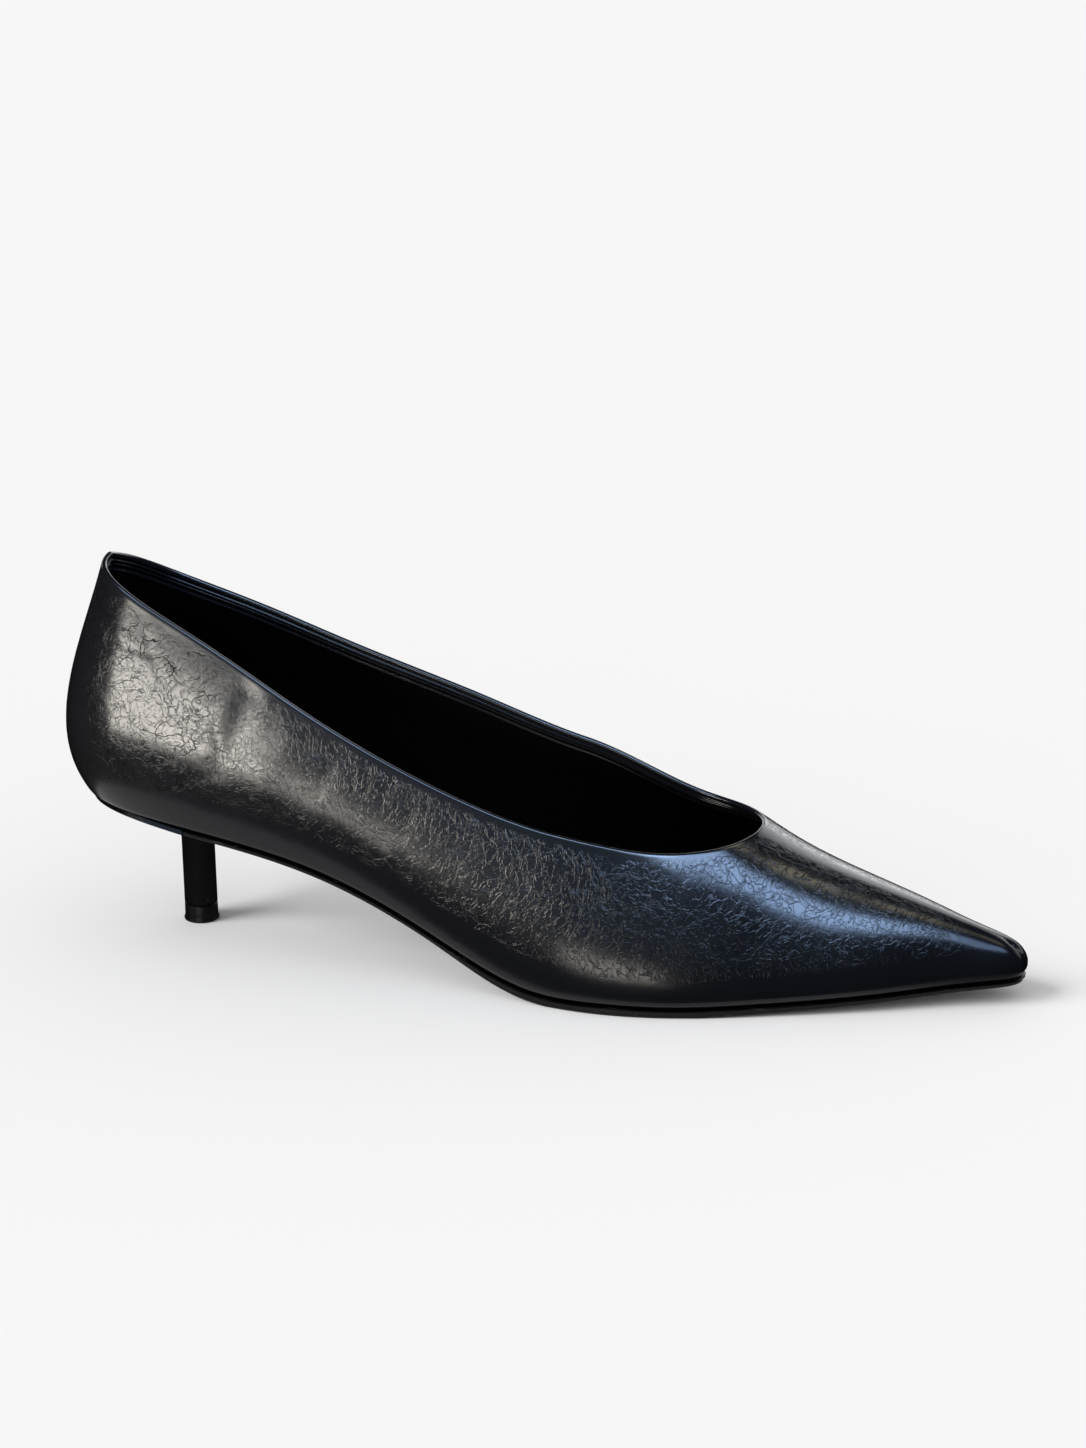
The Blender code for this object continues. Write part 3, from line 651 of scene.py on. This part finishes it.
def plate_rows(place, side, inset, profile, top, bottom):
    """Rows of a plate from the middle of its top, round its edge's profile, to the middle of its bottom."""
    shares = np.linspace(0, 1, SOLE_RINGS + 1)[:-1]
    first, last = inset + profile[0]["inward"], inset + profile[-1]["inward"]
    rows = [plate_points(place, side, first, share, top) for share in shares]
    for row in profile:
        upper_row = plate_points(place, side, inset + row["inward"], 1.0, top)
        lower_row = plate_points(place, side, inset + row["inward"], 1.0, bottom)
        rows.append(upper_row + (lower_row - upper_row) * row["down"])
    for share in shares[::-1]:
        rows.append(plate_points(place, side, last, share, bottom))
    return np.array(rows)


def make_insole(material):
    """The padded sock over the insole."""
    place, side = sole_ring()

    def top(x, y):
        return off_bottom(x, y, UPPER_WALL + FIT + insole_thickness(x))

    def bottom(x, y):
        return off_bottom(x, y, UPPER_WALL + FIT)

    rows = plate_rows(place, side, insole_inset(), INSOLE_EDGE, top, bottom)
    faces = grid_faces(rows.shape[0], len(place))
    return make_piece("insole_sock", rows.reshape(-1, 3), faces, material)


def breast_x():
    """The heel's flat front, from the heel back."""
    return HEEL_AXIS + STEM_HALF_LENGTH + BREAST_LEDGE


def make_outsole(material):
    """The sole from the heel's front to the toe, with a fine bead along its top edge."""
    place, side = sole_ring()

    def top(x, y):
        return off_bottom(x, y, -FIT)

    def bottom(x, y):
        return np.maximum(off_bottom(x, y, -FIT - outsole_thickness(x)), 0.0)

    rows = plate_rows(place, side, EDGE_INSET, SOLE_EDGE, top, bottom)
    piece = make_piece("outsole_fine", rows.reshape(-1, 3), grid_faces(rows.shape[0], len(place)), material)
    bm = bmesh.new()
    bm.from_mesh(piece.data)
    whole = [*bm.verts, *bm.edges, *bm.faces]
    cut = breast_x() + FIT - HEEL_AXIS
    sliced = bmesh.ops.bisect_plane(
        bm, geom=whole, plane_co=(cut, 0, 0), plane_no=(1, 0, 0), clear_inner=True
    )
    rim = [item for item in sliced["geom_cut"] if isinstance(item, bmesh.types.BMEdge)]
    bmesh.ops.contextual_create(bm, geom=rim)
    bm.to_mesh(piece.data)
    bm.free()
    piece.data.set_sharp_from_angle(angle=SHARP_EDGE)
    return piece


# Heel


def breast_place(side):
    """Place of the section whose edge lies on the heel's flat front."""
    low, high = 0.0, 0.5
    for _ in range(BISECTIONS):
        middle = (low + high) / 2
        x, _ = section_point(middle, side, feather_reach(middle, side) - EDGE_INSET)
        low, high = (middle, high) if x < breast_x() else (low, middle)
    return low


def seat_edge():
    """The heel's edge seen from above: round the back from one breast corner to the other, then across."""
    back = np.linspace(1, 0, SEAT_STATIONS + 1)
    share = np.concatenate([back, back[-2::-1]])
    side = np.concatenate([np.full(len(back), OUTER_SIDE), np.full(len(back) - 1, INNER_SIDE)])
    place = share * np.where(side < 0, breast_place(OUTER_SIDE), breast_place(INNER_SIDE))
    inset = EDGE_INSET + HEEL_TUCK * (1 - share**2)
    x, y = section_point(place, side, feather_reach(place, side) - inset)
    share = np.arange(1, BREAST_STATIONS) / BREAST_STATIONS
    front = y[-1] + (y[0] - y[-1]) * share
    return np.concatenate([x, np.full_like(front, breast_x())]), np.concatenate([y, front])


def stem_outline(x, y, grow=0.0):
    """Points of the stem's round outline that face the points of the heel's edge."""
    turn = np.arctan2(y / STEM_HALF_WIDTH, (x - HEEL_AXIS) / STEM_HALF_LENGTH)
    return (
        HEEL_AXIS + (STEM_HALF_LENGTH + grow) * np.cos(turn),
        (STEM_HALF_WIDTH + grow) * np.sin(turn),
    )


def seat_rows(x, y):
    """Rows of the heel's top, from its middle to just inside its edge."""
    rows = []
    for share in SEAT_RINGS:
        px, py = HEEL_AXIS + (x - HEEL_AXIS) * share, y * share
        rows.append(np.stack([px - HEEL_AXIS, py, off_bottom(px, py, -FIT)], -1))
    return rows


def make_heel(material):
    """A thin dish under the seat that runs down into a slim round stem at its front."""
    x, y = seat_edge()
    stem_x, stem_y = stem_outline(x, y)
    gap = np.hypot(x - stem_x, y - stem_y)
    reach = np.minimum(NECK_REACH, NECK_LIMIT * gap)
    rows = seat_rows(x, y)
    for share in np.linspace(0, 1, DISH_ROWS + 1):
        out = (gap + (reach - gap) * share) / gap
        px, py = stem_x + (x - stem_x) * out, stem_y + (y - stem_y) * out
        thickness = WAIST_THICKNESS + DISH_SWELL * share * (gap - reach) / gap
        rows.append(np.stack([px - HEEL_AXIS, py, off_bottom(px, py, -FIT - thickness)], -1))
    start = rows[-1][:, 2]
    for sweep in np.linspace(0, math.pi / 2, NECK_ROWS + 1)[1:]:
        out = reach * (1 - math.sin(sweep)) / gap
        px, py = stem_x + (x - stem_x) * out, stem_y + (y - stem_y) * out
        rows.append(np.stack([px - HEEL_AXIS, py, start - NECK_DROP * (1 - math.cos(sweep))], -1))
    foot, neck = TIP_HEIGHT + FIT, rows[-1][:, 2]
    for share in np.linspace(0, 1, STEM_ROWS + 1)[1:]:
        rows.append(np.stack([stem_x - HEEL_AXIS, stem_y, neck + (foot - neck) * share], -1))
    foot_x, foot_y = (stem_x - HEEL_AXIS) * FOOT_RING, stem_y * FOOT_RING
    rows.append(np.stack([foot_x, foot_y, np.full_like(x, foot)], -1))
    rows = np.array(rows)
    piece = make_piece("heel_fine", rows.reshape(-1, 3), grid_faces(rows.shape[0], len(x)), material)
    piece.data.set_sharp_from_angle(angle=SHARP_EDGE)
    return piece


def make_heel_tip(material):
    """The replaceable pad under the stem, with a slight flare at its foot."""
    x, y = seat_edge()
    rows = []
    for row in TIP_SIDE:
        px, py = stem_outline(x, y, row["grow"])
        rows.append(np.stack([px - HEEL_AXIS, py, np.full_like(px, row["height"])], -1))
    rows = np.array(rows)
    return make_piece("heel_tip_fine", rows.reshape(-1, 3), grid_faces(rows.shape[0], len(x)), material)


# Materials


class Nodes:
    """A material's node tree, with short ways to add nodes and links."""

    def __init__(self, name):
        self.material = bpy.data.materials.new(name)
        self.material.use_nodes = True
        self.tree = self.material.node_tree
        self.shader = self.tree.nodes["Principled BSDF"]

    def add(self, kind, settings=None, **inputs):
        """Adds a node; inputs take a value or another node's socket."""
        node = self.tree.nodes.new(kind)
        for key, value in (settings or {}).items():
            setattr(node, key, value)
        for key, value in inputs.items():
            self.put(node, key.replace("_", " "), value)
        return node

    def put(self, node, key, value):
        socket = node.inputs[int(key)] if key.isdigit() else node.inputs[key]
        if isinstance(value, bpy.types.NodeSocket):
            self.tree.links.new(value, socket)
        else:
            socket.default_value = value

    def math(self, operation, *values):
        node = self.tree.nodes.new("ShaderNodeMath")
        node.operation = operation
        for i, value in enumerate(values):
            self.put(node, str(i), value)
        return node.outputs[0]

    def times(self, first, second):
        return self.math("MULTIPLY", first, second)

    def highest(self, first, second):
        return self.math("MAXIMUM", first, second)

    def rest(self, share):
        """What a share leaves of 1."""
        return self.math("SUBTRACT", 1.0, share)

    def place(self):
        return self.add("ShaderNodeTexCoord").outputs["Object"]

    def stretched(self, vector, scale):
        return self.add("ShaderNodeMapping", Vector=vector, Scale=scale).outputs[0]

    def noise(self, vector, scale, detail=3.0, roughness=0.5, output="Fac"):
        node = self.add("ShaderNodeTexNoise", Vector=vector, Scale=scale, Detail=detail, Roughness=roughness)
        return node.outputs[output]

    def warped(self, vector, scale, amount):
        """The vector moved about by a noise, by up to half the amount."""
        push = self.noise(vector, scale, detail=2.0, output="Color")
        centred = self.vectors("SUBTRACT", push, (0.5, 0.5, 0.5))
        return self.vectors("ADD", vector, self.vectors("SCALE", centred, Scale=amount))

    def vectors(self, operation, *vectors, **inputs):
        node = self.add("ShaderNodeVectorMath", {"operation": operation}, **inputs)
        for i, vector in enumerate(vectors):
            self.put(node, str(i), vector)
        return node.outputs[0]

    def lines(self, vector, scale, width):
        """1 along the edges of cells, falling to 0 over a width given as a share of a cell."""
        cells = self.add("ShaderNodeTexVoronoi", {"feature": "DISTANCE_TO_EDGE"}, Vector=vector, Scale=scale)
        return self.fall(cells.outputs["Distance"], width)

    def loops(self, vector, scale, width):
        """1 along the level lines of a noise, which wander and close in loops."""
        level = self.math("SUBTRACT", self.noise(vector, scale, detail=2.0), 0.5)
        return self.fall(self.math("ABSOLUTE", level), width)

    def fall(self, value, width):
        """1 at a value of 0, 0 from width on, smooth between them."""
        return self.between(value, 0.0, width, To_Min=1.0, To_Max=0.0)

    def between(self, value, low, high, **ends):
        """0 below low, 1 above high, smooth between them."""
        settings = {"interpolation_type": "SMOOTHSTEP"}
        node = self.add("ShaderNodeMapRange", settings, Value=value, From_Min=low, From_Max=high, **ends)
        return node.outputs[0]

    def attribute(self, name):
        return self.add("ShaderNodeAttribute", {"attribute_name": name}).outputs["Fac"]

    def blend(self, share, first, second):
        """Runs from the first value to the second as the share goes from 0 to 1."""
        node = self.add("ShaderNodeMix", Factor=share)
        self.put(node, "A", first)
        self.put(node, "B", second)
        return node.outputs[0]

    def tint(self, share, first, second):
        """Runs from the first colour to the second, through the mix node's colour sockets."""
        node = self.add("ShaderNodeMix", {"data_type": "RGBA"})
        self.put(node, "0", share)
        self.put(node, "6", (*first, 1.0))
        self.put(node, "7", (*second, 1.0))
        return node.outputs[2]

    def bump(self, height, distance, strength, normal=None):
        node = self.add("ShaderNodeBump", Strength=strength, Distance=distance, Height=height)
        if normal is not None:
            self.put(node, "Normal", normal)
        return node.outputs[0]

    def finish(self, **inputs):
        for key, value in inputs.items():
            self.put(self.shader, key.replace("_", " "), value)
        return self.material


# Colours, from plain to worn
LEATHER_BLACK, CRACK_BLACK = (0.0022, 0.0022, 0.0025), (0.0012, 0.0012, 0.0012)
LINING_BLACK, LINING_WORN = (0.0016, 0.0016, 0.0018), (0.0030, 0.0029, 0.0028)
SOLE_BLACK, SOLE_SCUFF = (0.0035, 0.0034, 0.0033), (0.060, 0.055, 0.048)
HEEL_BLACK, HEEL_SPECK = (0.0040, 0.0040, 0.0042), (0.050, 0.050, 0.050)
TIP_BLACK, TIP_WORN = (0.0030, 0.0030, 0.0030), (0.0055, 0.0054, 0.0052)
FLOOR_DARK, FLOOR_LIGHT = (0.925, 0.925, 0.925), (0.935, 0.935, 0.935)

# Specular levels: the leather's coat mirrors less than plain lacquer
LEATHER_GLOSS = 0.26
BAND_GLOSS = 0.07
TOE_GLOSS_SHARE = 0.30
LINING_GLOSS = 0.16
SOLE_GLOSS = 0.20
TIP_GLOSS = 0.12
HEEL_GLOSS = 0.60

# Roughness, from the smoothest places to the roughest
LEATHER_ROUGH, CRACK_ROUGH = (0.15, 0.21), 0.08
LINING_ROUGH = (0.42, 0.58)
SOLE_ROUGH, SCUFF_ROUGH = (0.34, 0.48), 0.2
SCUFF_STRETCH, SCUFF_TINT = (0.35, 1.0, 1.6), 0.6
HEEL_ROUGH = (0.10, 0.20)
TIP_ROUGH = (0.30, 0.44)
FLOOR_ROUGH = (0.90, 0.96)

# Where the leather changes along the shoe, as x where the change starts and where it is whole
HEEL_BACK = (-0.030, -0.016)
COUNTER_END = (0.010, 0.045)
BALL = (0.085, 0.135)
TOE_PLAIN = (0.206, 0.220)
TOE_DULL = (0.186, 0.220)

# And across the wall: over the plain band, below the collar's edge, and on the folded edge inside it
PLAIN_BAND = 0.0097  # the leather stays smooth this far up from the sole behind the ball
PLAIN_BAND_AHEAD = 0.0068  # and this far up ahead of it
BAND_WANDER = 0.004
BAND_EDGE = (-0.0015, 0.0010)
COLLAR_EDGE = (0.0006, 0.0030)
FOLD = (-0.0008, -0.0002)

# Layers of the crackle: their pattern, cells per metre, a line's width as a share of a cell, and strength
CRACKLE = {
    "big": {"pattern": "lines", "scale": 150.0, "width": 0.026, "strength": 1.00},
    "middle": {"pattern": "lines", "scale": 360.0, "width": 0.050, "strength": 0.90},
    "curls": {"pattern": "loops", "scale": 280.0, "width": 0.012, "strength": 0.85},
    "small": {"pattern": "loops", "scale": 600.0, "width": 0.028, "strength": 0.60},
    "fine": {"pattern": "lines", "scale": 480.0, "width": 0.042, "strength": 0.80},
    "finest": {"pattern": "loops", "scale": 520.0, "width": 0.014, "strength": 0.75},
}
# Patches in which a layer is strong: their number per metre, the noise at their edge, and the least strength
PATCHES = {
    "big": {"scale": 130.0, "low": 0.40, "high": 0.56, "least": 0.4},
    "middle": {"scale": 210.0, "low": 0.38, "high": 0.56, "least": 0.0},
}
UPRIGHT = (1.0, 0.60, 0.50)  # draws cells out across the shoe and up the wall
QUARTER_CURLS = 0.9  # strength of the curls ahead of the counter
COUNTER_RELIEF = 0.70  # depth of the lines at the counter
DULLED_AHEAD, DULLED_COUNTER = 0.35, 0.95  # share of the gloss that a line takes away


def crackled_share(m, place, x):
    """1 where the leather is crackled: not low down, at the toe's tip, the heel's back or the collar."""
    height, below_top = m.attribute("height"), m.attribute("below_top")
    wander = m.math("MULTIPLY_ADD", m.noise(place, scale=150.0), BAND_WANDER, -BAND_WANDER / 2)
    band = m.blend(m.between(x, *BALL), PLAIN_BAND, PLAIN_BAND_AHEAD)
    above_band = m.math("SUBTRACT", m.math("ADD", height, wander), band)
    crackled = m.times(m.between(above_band, *BAND_EDGE), m.between(x, *HEEL_BACK))
    crackled = m.times(crackled, m.rest(m.between(x, *TOE_PLAIN)))
    return m.times(crackled, m.between(below_top, *COLLAR_EDGE))


def crackle_layer(m, name, vector):
    """One layer of the crackle, 1 times its strength along its lines."""
    row = CRACKLE[name]
    pattern = m.lines if row["pattern"] == "lines" else m.loops
    return m.times(pattern(vector, row["scale"], row["width"]), row["strength"])


def in_patches(m, name, layer, place):
    """A layer that is strong in patches alone."""
    row = PATCHES[name]
    patches = m.between(m.noise(place, row["scale"], detail=2.0), row["low"], row["high"])
    return m.times(layer, m.math("MULTIPLY_ADD", patches, 1.0 - row["least"], row["least"]))


def crackle(m, place, counter):
    """Lines of the crackle: coarse cells and curls at the counter, finer upright ones ahead of it."""
    bent = m.warped(place, scale=90.0, amount=0.010)
    bent = m.warped(bent, scale=320.0, amount=0.0030)
    upright = m.stretched(bent, UPRIGHT)
    big = in_patches(m, "big", crackle_layer(m, "big", bent), place)
    middle = in_patches(m, "middle", crackle_layer(m, "middle", bent), place)
    curls, small = crackle_layer(m, "curls", bent), crackle_layer(m, "small", bent)
    fine, finest = crackle_layer(m, "fine", upright), crackle_layer(m, "finest", upright)
    coarse = m.highest(m.highest(big, middle), m.highest(curls, small))
    quarter = m.highest(m.highest(fine, finest), m.times(curls, QUARTER_CURLS))
    return m.blend(counter, quarter, coarse)


def leather_relief(m, place, crackled, lines, counter):
    """The leather's normal: a broad swell, pores where it is crackled, and the crackle's lines."""
    normal = m.bump(m.noise(place, scale=70.0), distance=0.0010, strength=0.16)
    pores = m.times(m.noise(place, scale=2600.0, detail=2.0), crackled)
    normal = m.bump(pores, distance=0.00002, strength=0.4, normal=normal)
    relief = m.times(lines, m.blend(counter, 1.0, COUNTER_RELIEF))
    return m.bump(m.rest(relief), distance=0.00005, strength=0.60, normal=normal)


def leather_gloss(m, x, lines, counter):
    """The leather's specular level: less along the lines, on the folded edge and towards the toe."""
    dulled = m.times(lines, m.blend(counter, DULLED_AHEAD, DULLED_COUNTER))
    gloss = m.times(LEATHER_GLOSS, m.rest(dulled))
    gloss = m.blend(m.between(m.attribute("below_top"), *FOLD), BAND_GLOSS, gloss)
    return m.times(gloss, m.blend(m.between(x, *TOE_DULL), 1.0, TOE_GLOSS_SHARE))


def leather_material():
    """Black coated leather, crackled over most of its surface."""
    m = Nodes("crackled_leather")
    place = m.place()
    x = m.add("ShaderNodeSeparateXYZ", Vector=place).outputs[0]
    crackled = crackled_share(m, place, x)
    counter = m.rest(m.between(x, *COUNTER_END))
    lines = m.times(crackle(m, place, counter), crackled)
    rough = m.blend(m.noise(place, scale=45.0, detail=4.0), *LEATHER_ROUGH)
    return m.finish(
        Base_Color=m.tint(lines, LEATHER_BLACK, CRACK_BLACK),
        Roughness=m.math("ADD", rough, m.times(lines, CRACK_ROUGH)),
        Normal=leather_relief(m, place, crackled, lines, counter),
        Specular_IOR_Level=leather_gloss(m, x, lines, counter),
    )


def lining_material():
    """Thin black lining, softly wrinkled."""
    m = Nodes("black_lining")
    place = m.place()
    wrinkles = m.noise(m.warped(place, scale=60.0, amount=0.02), scale=55.0, detail=4.0, roughness=0.55)
    normal = m.bump(wrinkles, distance=0.0022, strength=0.5)
    weave = m.noise(place, scale=1500.0, detail=2.0)
    normal = m.bump(weave, distance=0.00008, strength=0.6, normal=normal)
    rough = m.blend(m.noise(place, scale=90.0), *LINING_ROUGH)
    colour = m.tint(m.noise(place, scale=30.0), LINING_BLACK, LINING_WORN)
    return m.finish(Base_Color=colour, Roughness=rough, Normal=normal, Specular_IOR_Level=LINING_GLOSS)


def sole_material():
    """Dull black sole, with fine scuffs and grit along its edge."""
    m = Nodes("sole_rubber")
    place = m.place()
    along = m.stretched(place, SCUFF_STRETCH)
    scuffs = m.between(m.noise(along, scale=420.0, detail=4.0, roughness=0.6), low=0.60, high=0.72)
    normal = m.bump(m.noise(place, scale=900.0), distance=0.0001, strength=0.7)
    normal = m.bump(scuffs, distance=0.0001, strength=0.5, normal=normal)
    rough = m.blend(m.noise(place, scale=70.0), *SOLE_ROUGH)
    rough = m.math("ADD", rough, m.times(scuffs, SCUFF_ROUGH))
    colour = m.tint(m.times(scuffs, SCUFF_TINT), SOLE_BLACK, SOLE_SCUFF)
    return m.finish(Base_Color=colour, Roughness=rough, Normal=normal, Specular_IOR_Level=SOLE_GLOSS)


def heel_material():
    """Glossy black lacquer over the moulded heel."""
    m = Nodes("heel_lacquer")
    place = m.place()
    normal = m.bump(m.noise(place, scale=160.0, detail=2.0), distance=0.0004, strength=0.12)
    rough = m.blend(m.noise(place, scale=240.0, detail=4.0), *HEEL_ROUGH)
    specks = m.between(m.noise(place, scale=1400.0, detail=1.0), low=0.76, high=0.80)
    colour = m.tint(specks, HEEL_BLACK, HEEL_SPECK)
    return m.finish(Base_Color=colour, Roughness=rough, Normal=normal, Specular_IOR_Level=HEEL_GLOSS)


def tip_material():
    """Moulded black rubber with a satin face."""
    m = Nodes("tip_rubber")
    place = m.place()
    normal = m.bump(m.noise(place, scale=1800.0), distance=0.00006, strength=0.6)
    rough = m.blend(m.noise(place, scale=500.0), *TIP_ROUGH)
    colour = m.tint(m.noise(place, scale=300.0), TIP_BLACK, TIP_WORN)
    return m.finish(Base_Color=colour, Roughness=rough, Normal=normal, Specular_IOR_Level=TIP_GLOSS)


def floor_material():
    """Plain pale studio floor."""
    m = Nodes("pale_floor")
    place = m.place()
    rough = m.blend(m.noise(place, scale=4.0), *FLOOR_ROUGH)
    colour = m.tint(m.noise(place, scale=2.0), FLOOR_DARK, FLOOR_LIGHT)
    return m.finish(Base_Color=colour, Roughness=rough, Specular_IOR_Level=0.0)


# Stage

CAMERA_AZIMUTH, CAMERA_ELEVATION, CAMERA_ROLL = 18.0, 20.0, 1.4  # degrees
CAMERA_DISTANCE = 1.27
CLIP_START, CLIP_END = 0.01, 50.0
CAMERA_TARGET = Vector((0.0988, 0.0, 0.0646))
IMAGE_LONG_SIDE = 1448
FOCAL_PIXELS = 4856
SENSOR = 36.0
FLOOR_REACH = 6.0
PANEL_LEVEL = 0.04  # height that the softboxes face
STRAIGHT_DOWN = -90
SUN_AZIMUTH, SUN_ELEVATION, SUN_SPREAD = -55.0, 20.0, 40  # degrees
SUN_STRENGTH = 3.80
WORLD_STRENGTH = 0.585


def direction(azimuth, elevation):
    """Unit vector towards an azimuth, 0 in front and 90 on the toe's side, and an elevation, in degrees."""
    a, e = math.radians(azimuth), math.radians(elevation)
    return Vector((math.sin(a) * math.cos(e), -math.cos(a) * math.cos(e), math.sin(e)))


def make_camera():
    """The camera, fitted to the shoe's outline: it looks at its target from the front and a little above."""
    data = bpy.data.cameras.new("camera")
    data.sensor_width = SENSOR
    data.lens = SENSOR * FOCAL_PIXELS / IMAGE_LONG_SIDE
    data.clip_start = CLIP_START
    data.clip_end = CLIP_END
    camera = bpy.data.objects.new("camera", data)
    bpy.context.collection.objects.link(camera)
    azimuth, roll = math.radians(CAMERA_AZIMUTH), math.radians(CAMERA_ROLL)
    back = direction(CAMERA_AZIMUTH, CAMERA_ELEVATION)
    right = Vector((math.cos(azimuth), math.sin(azimuth), 0.0))
    up = back.cross(right)
    turned_right = right * math.cos(roll) - up * math.sin(roll)
    turned_up = right * math.sin(roll) + up * math.cos(roll)
    axes = Matrix((turned_right, turned_up, back)).transposed().to_4x4()
    camera.matrix_world = Matrix.Translation(CAMERA_TARGET + back * CAMERA_DISTANCE) @ axes
    bpy.context.scene.camera = camera


def make_floor(material):
    """A wide floor, which the shoe's gloss doesn't mirror: the panel under it stands in for it there."""
    corners = [(-FLOOR_REACH, -FLOOR_REACH, 0), (FLOOR_REACH, -FLOOR_REACH, 0)]
    corners += [(FLOOR_REACH, FLOOR_REACH, 0), (-FLOOR_REACH, FLOOR_REACH, 0)]
    floor = make_piece("floor", corners, [(0, 1, 2, 3)], material, smooth=False)
    floor.visible_glossy = False
    return floor


WARM, PALE, OLIVE = (1.0, 0.95, 0.87), (0.97, 0.98, 1.0), (1.0, 0.92, 0.70)
BLUE, DEEP_BLUE = (0.48, 0.68, 1.0), (0.42, 0.62, 1.0)
# Softboxes: the x that each faces, where it stands, how wide and tall it looks from there in degrees, how
# bright it is, and what it lights: all of the shoe, the leather alone, or the heel and its tip alone
PANELS = [
    {"name": "counter_warm", "at": 0.029, "azimuth": -30, "elevation": 15, "away": 0.154,
     "wide": 44, "tall": 22, "glow": 30.0, "tone": WARM, "on": "leather"},
    {"name": "front_warm", "at": 0.12, "azimuth": -8, "elevation": -1, "away": 1.00,
     "wide": 32, "tall": 10, "glow": 9.0, "tone": WARM, "on": "shoe"},
    {"name": "front_dim", "at": 0.10, "azimuth": -12, "elevation": 28, "away": 1.40,
     "wide": 70, "tall": 34, "glow": 0.5, "tone": BLUE, "on": "shoe"},
    {"name": "vamp_blue", "at": 0.15, "azimuth": 45, "elevation": 57, "away": 1.00,
     "wide": 34, "tall": 17, "glow": 28.0, "tone": DEEP_BLUE, "on": "leather"},
    {"name": "collar_blue", "at": 0.08, "azimuth": -15, "elevation": 62, "away": 1.20,
     "wide": 50, "tall": 15, "glow": 26.0, "tone": BLUE, "on": "leather"},
    {"name": "back_olive", "at": 0.18, "azimuth": 122, "elevation": 65, "away": 1.20,
     "wide": 16, "tall": 12, "glow": 6.0, "tone": OLIVE, "on": "leather"},
    {"name": "back_side", "at": 0.10, "azimuth": 205, "elevation": 8, "away": 1.40,
     "wide": 70, "tall": 20, "glow": 2.0, "tone": PALE, "on": "shoe"},
    {"name": "inner_side", "at": 0.10, "azimuth": 150, "elevation": 22, "away": 1.40,
     "wide": 66, "tall": 26, "glow": 3.0, "tone": PALE, "on": "shoe"},
    {"name": "stem_side", "at": 0.00, "azimuth": -48, "elevation": 2, "away": 0.60,
     "wide": 14, "tall": 26, "glow": 2.4, "tone": PALE, "on": "heel"},
    {"name": "floor_glow", "at": 0.10, "azimuth": 0, "elevation": -90, "away": 0.60,
     "wide": 112, "tall": 112, "glow": 0.7, "tone": PALE, "on": "shoe"},
]


def make_light(name, kind, towards, lit, shades):
    """A light from a direction, which lights some pieces alone and which some pieces alone shade."""
    light = bpy.data.objects.new(name, bpy.data.lights.new(name, kind))
    bpy.context.collection.objects.link(light)
    light.rotation_mode = "QUATERNION"
    light.rotation_quaternion = towards.to_track_quat("Z", "Y")
    light.light_linking.receiver_collection = lit
    light.light_linking.blocker_collection = shades
    return light


def make_panel(panel, lit, shoe):
    """A softbox turned to face the shoe, which lights some of its pieces."""
    towards = direction(panel["azimuth"], panel["elevation"])
    light = make_light(panel["name"], "AREA", towards, lit, shoe)
    light.location = Vector((panel["at"], 0.0, PANEL_LEVEL)) + towards * panel["away"]
    light.visible_camera = False
    data = light.data
    data.shape = "ELLIPSE" if panel["elevation"] == STRAIGHT_DOWN else "RECTANGLE"
    data.size = 2 * panel["away"] * math.tan(math.radians(panel["wide"] / 2))
    data.size_y = 2 * panel["away"] * math.tan(math.radians(panel["tall"] / 2))
    data.color = panel["tone"]
    data.energy = panel["glow"] * math.pi * data.size * data.size_y


def make_front_sun(floor, shades):
    """A broad soft light from the front for the floor alone, which the sole, heel and tip alone shade."""
    sun = make_light("front_sun", "SUN", direction(SUN_AZIMUTH, SUN_ELEVATION), floor, shades)
    sun.data.energy = SUN_STRENGTH
    sun.data.angle = math.radians(SUN_SPREAD)


def make_world():
    """An even white surround, which gloss doesn't mirror."""
    world = bpy.data.worlds.new("studio")
    world.use_nodes = True
    background = world.node_tree.nodes["Background"]
    background.inputs["Color"].default_value = (1.0, 1.0, 1.0, 1.0)
    background.inputs["Strength"].default_value = WORLD_STRENGTH
    world.cycles_visibility.glossy = False
    bpy.context.scene.world = world


def dress(piece, node):
    """Seats a piece on the shoe's one body, in place of its solid."""
    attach(piece, "root")
    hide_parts(node)


def make_group(name, pieces):
    """A collection of pieces that lights name, outside the view layer."""
    group = bpy.data.collections.new(name)
    for piece in pieces:
        group.objects.link(piece)
    return group


def main():
    make_camera()
    leather, lining = make_leather(leather_material()), make_lining(lining_material())
    insole, outsole = make_insole(lining_material()), make_outsole(sole_material())
    heel, tip = make_heel(heel_material()), make_heel_tip(tip_material())
    dress(leather, "upper")
    dress(lining, "upper")
    dress(insole, "insole")
    dress(outsole, "outsole")
    dress(heel, "heel")
    dress(tip, "heel_tip")
    floor = make_floor(floor_material())
    shoe = make_group("shoe", [leather, lining, insole, outsole, heel, tip])
    lit = {"shoe": shoe, "leather": make_group("leather", [leather]), "heel": make_group("heel", [heel, tip])}
    for panel in PANELS:
        make_panel(panel, lit[panel["on"]], shoe)
    make_front_sun(make_group("floor", [floor]), make_group("shades", [outsole, heel, tip]))
    make_world()
    bpy.context.scene.view_settings.view_transform = "Standard"


main()
